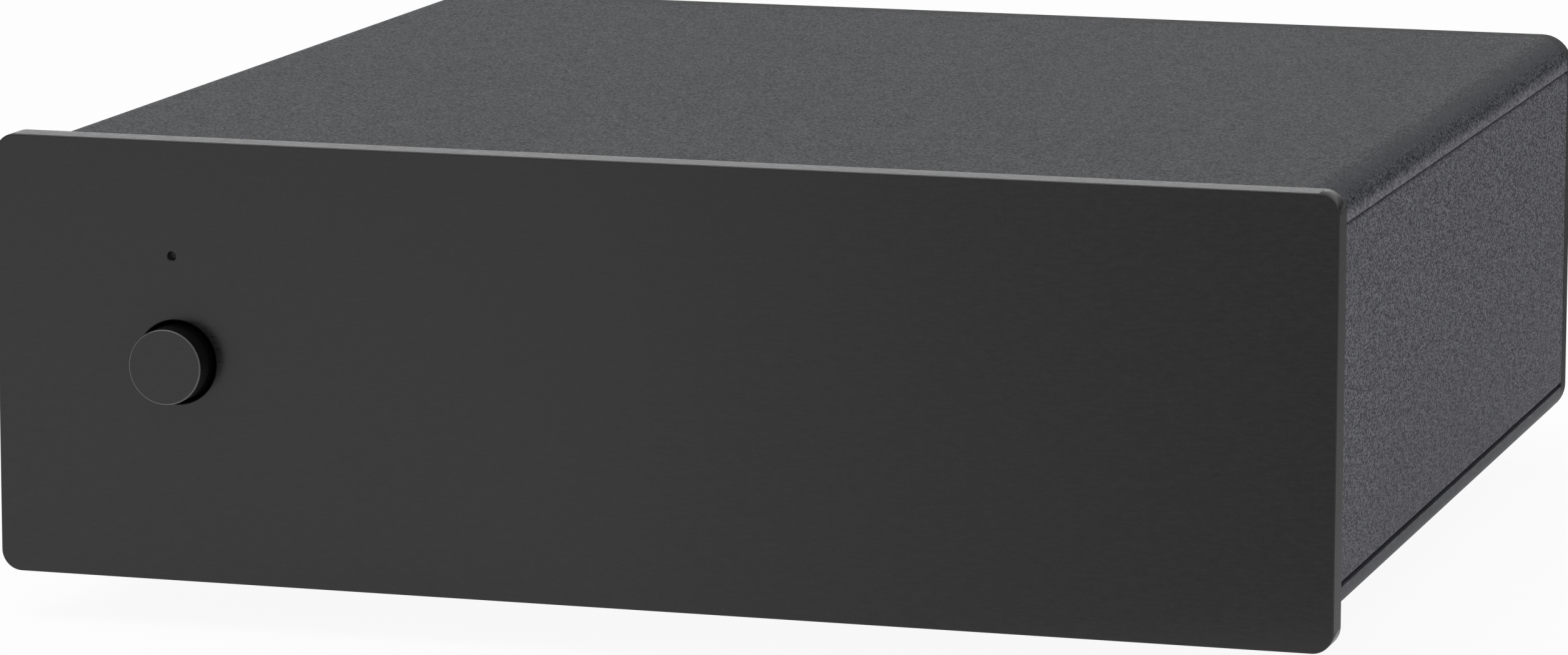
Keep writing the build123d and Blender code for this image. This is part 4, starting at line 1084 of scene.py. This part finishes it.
def makeSettingMarks():
    for side in ("left", "right"):
        node = f"{side}_setting_body"
        centre = middleOf(node)
        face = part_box(node)[0].z - settingMarks["thickness"] / 2
        marks = []
        for way in range(1, 5):
            x = middleOf(f"{side}_slider_{way}").x
            marks.append(addMark(str(way), x, centre.y + settingMarks["fromSlot"], face))
        marks.append(addMark("ON", centre.x, centre.y - settingMarks["fromSlot"], face))
        printed = joinPieces(f"{side}SettingMarks", marks)
        dress(printed, "whitePlastic", bodyOf(node))


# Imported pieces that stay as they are, under their own finishes

keptPieces = {
    "front_bulkhead": "zincSteel", "bulkhead_screws": "zincSteel", "front_panel_screws": "zincSteel",
    "switch_plunger": "whitePlastic", "switch_body": "blackPlastic",
    "switch_contacts": "nickel", "status_led": "lamp", "led_bush": "blackPlastic", "led_leads": "nickel",
    "centre_contacts": "gold", "dc_jack_contact": "nickel", "ground_inner_nut": "nickel", "ground_tag": "nickel",
    "main_board": "board", "large_capacitors": "largeCan", "small_capacitors": "smallCan",
    "film_capacitors": "filmBox", "op_amps": "blackPlastic", "voltage_regulator": "blackPlastic",
    "supply_choke": "winding", "chip_resistors": "ceramic",
}


def dressKeptPieces():
    for node, finishName in keptPieces.items():
        for slot in frame["nodes"][node].material_slots:
            slot.material = finishes[finishName]


makeFrontPanel()
makePowerButton()
makeReturnSpring()
print("front modelled")
makeCover("topCover", "top_cover", 1)
makeCover("bottomCover", "bottom_cover", -1)
makeRails()
makeRearPanel()
makeFeet()
print("case modelled")
makeSockets()
makeEarthPost()
makeBrokenEdges()
makeSettingMarks()
print("sockets, earth post and switches modelled")
dressKeptPieces()
print("kept pieces dressed:", len(keptPieces))


# Studio: a pale floor, a soft bright surround, dark cards that the gloss sees, and two large soft lights

studio = {
    "floorSize": 3.0, "floorColour": grey(0.92), "floorGlow": 0.38, "floorSeen": 1.01, "floorShade": 0.08,
    "seenWhite": 0.985, "cardLift": 0.2 * mm, "lightAim": (0, 0, 0.02),
    "overheadLight": {"power": 2.4, "size": 0.7, "place": (-0.25, -0.15, 0.75)},
    "rightLight": {"power": 0.4, "size": 0.4, "place": (0.8, 0.35, 0.2)},
    "frontCard": {"size": 0.6, "corner": (-0.005, -0.058), "turn": -16.78, "along": -1, "axis": 0,
                  "stops": [(0.0, 0.96), (0.12, 0.52), (1.0, 0.5)]},
    "sideCard": {"size": 1.0, "corner": (0.0545, -0.055), "turn": 0.0, "along": 1, "axis": 1,
                 "stops": [(0.0, 0.3), (0.1, 0.2), (0.3, 0.12), (1.0, 0.05)]},
}

surround = {  # brightness from the level (0) to straight up (1) on three sides
    "left": [(0.0, 1.0), (0.17, 1.0), (0.22, 0.32), (0.6, 0.2), (1.0, 0.5)],
    "right": [(0.0, 0.03), (0.14, 0.05), (0.26, 0.6), (0.4, 0.35), (0.6, 0.25), (1.0, 0.5)],
    "ahead": [(0.0, 0.5), (0.3, 0.42), (1.0, 0.6)],
    "rightness": (-0.16, 0.1), "backness": (-0.3, 0.3),  # the X and Y between which one side turns into the next
}


def addPlane(name, size):
    clearSelection()
    bpy.ops.mesh.primitive_plane_add(size=size, location=(0, 0, 0))
    bpy.context.object.name = name
    return bpy.context.object


def makeFloor():
    floor = addPlane("studioFloor", studio["floorSize"])
    finish, tree, shader = newFinish(
        "floorPaper", Roughness=0.9, Base_Color=studio["floorColour"], Emission_Color=(1, 1, 1),
        Emission_Strength=studio["floorGlow"], Specular_IOR_Level=0.1
    )
    paper = addNode(tree, "ShaderNodeEmission")
    setInputs(paper, Strength=studio["floorSeen"])
    shaded = addNode(tree, "ShaderNodeBsdfDiffuse")
    setInputs(shaded, Color=(1, 1, 1))
    seen = mixShaders(tree, studio["floorShade"], paper.outputs[0], shaded.outputs[0])
    path = addNode(tree, "ShaderNodeLightPath")
    shape = addNode(tree, "ShaderNodeNewGeometry")
    clear = addNode(tree, "ShaderNodeBsdfTransparent")
    seen = mixShaders(tree, shape.outputs["Backfacing"], seen, clear.outputs[0])
    both = mixShaders(tree, path.outputs["Is Camera Ray"], shader.outputs[0], seen)
    plug(tree.nodes["Material Output"].inputs["Surface"], both)
    floor.data.materials.append(finish)


def makeCard(name):  # a flat card on the floor that only reflections see, shaded along one of its sides
    values = studio[name]
    size = values["size"]
    card = addPlane(name, size)
    spin = Matrix.Rotation(math.radians(values["turn"]), 3, "Z")
    middle = spin @ Vector((size / 2, values["along"] * size / 2, 0))
    card.location = Vector((*values["corner"], studio["cardLift"])) + middle
    card.rotation_euler = spin.to_euler()
    for kind in ("camera", "diffuse", "shadow", "transmission"):
        setattr(card, f"visible_{kind}", False)
    finish = bpy.data.materials.new(name)
    finish.use_nodes = True
    tree = finish.node_tree
    along = partsOf(tree, placeOf(tree))[values["axis"]]
    light = addNode(tree, "ShaderNodeEmission")
    setInputs(light, Color=addRamp(tree, spread(tree, along, -size / 2, size / 2), values["stops"]))
    plug(tree.nodes["Material Output"].inputs["Surface"], light.outputs[0])
    card.data.materials.append(finish)


def addRamp(tree, value, stops):  # stops are (place, brightness)
    node = addNode(tree, "ShaderNodeValToRGB")
    elements = node.color_ramp.elements
    while len(elements) < len(stops):
        elements.new(0.5)
    for element, (place, brightness) in zip(elements, stops):
        element.position = place
        element.color = (brightness, brightness, brightness, 1)
    plug(node.inputs[0], value)
    return node.outputs[0]


def makeSurround():
    world = bpy.data.worlds.new("studioSurround")
    bpy.context.scene.world = world
    world.use_nodes = True
    tree = world.node_tree
    tree.nodes.clear()
    parts = partsOf(tree, addNode(tree, "ShaderNodeTexCoord").outputs["Generated"])
    left, right, ahead = (addRamp(tree, parts["Z"], surround[name]) for name in ("left", "right", "ahead"))
    behind = mixColours(tree, spread(tree, parts["X"], *surround["rightness"]), left, right)
    lit = addNode(tree, "ShaderNodeBackground")
    setInputs(lit, Color=mixColours(tree, spread(tree, parts["Y"], *surround["backness"]), ahead, behind))
    seen = addNode(tree, "ShaderNodeBackground")
    setInputs(seen, Color=(studio["seenWhite"],) * 3)
    path = addNode(tree, "ShaderNodeLightPath")
    both = mixShaders(tree, path.outputs["Is Camera Ray"], lit.outputs[0], seen.outputs[0])
    plug(addNode(tree, "ShaderNodeOutputWorld").inputs["Surface"], both)


def makeLight(name):
    values = studio[name]
    clearSelection()
    bpy.ops.object.light_add(type="AREA", location=values["place"])
    light = bpy.context.object
    light.name = name
    light.data.energy = values["power"]
    light.data.size = values["size"]
    aim = Vector(studio["lightAim"]) - Vector(values["place"])
    light.rotation_euler = aim.to_track_quat("-Z", "Y").to_euler()
    light.visible_camera = False


camera = {
    "place": (0.1571, -0.5406, 0.1125), "yaw": 16.78, "pitch": 9.73, "roll": 0.09, "lens": 162.63, "sensor": 36.0,
    "nearest": 10.0 * mm,
}


def makeCamera():
    clearSelection()
    bpy.ops.object.camera_add(location=camera["place"])
    seer = bpy.context.object
    seer.name = "studioCamera"
    turn = Vector((90 - camera["pitch"], 0, camera["yaw"]))
    seer.rotation_mode = "XYZ"
    seer.rotation_euler = [math.radians(angle) for angle in turn]
    roll = Matrix.Rotation(math.radians(camera["roll"]), 3, "Z")
    seer.rotation_euler = (seer.rotation_euler.to_matrix() @ roll).to_euler()
    seer.data.lens = camera["lens"]
    seer.data.sensor_width = camera["sensor"]
    seer.data.sensor_fit = "HORIZONTAL"
    seer.data.clip_start = camera["nearest"]
    bpy.context.scene.camera = seer


makeFloor()
for name in ("frontCard", "sideCard"):
    makeCard(name)
makeSurround()
for name in ("overheadLight", "rightLight"):
    makeLight(name)
makeCamera()
bpy.context.scene.view_settings.view_transform = "Standard"
print("studio ready")
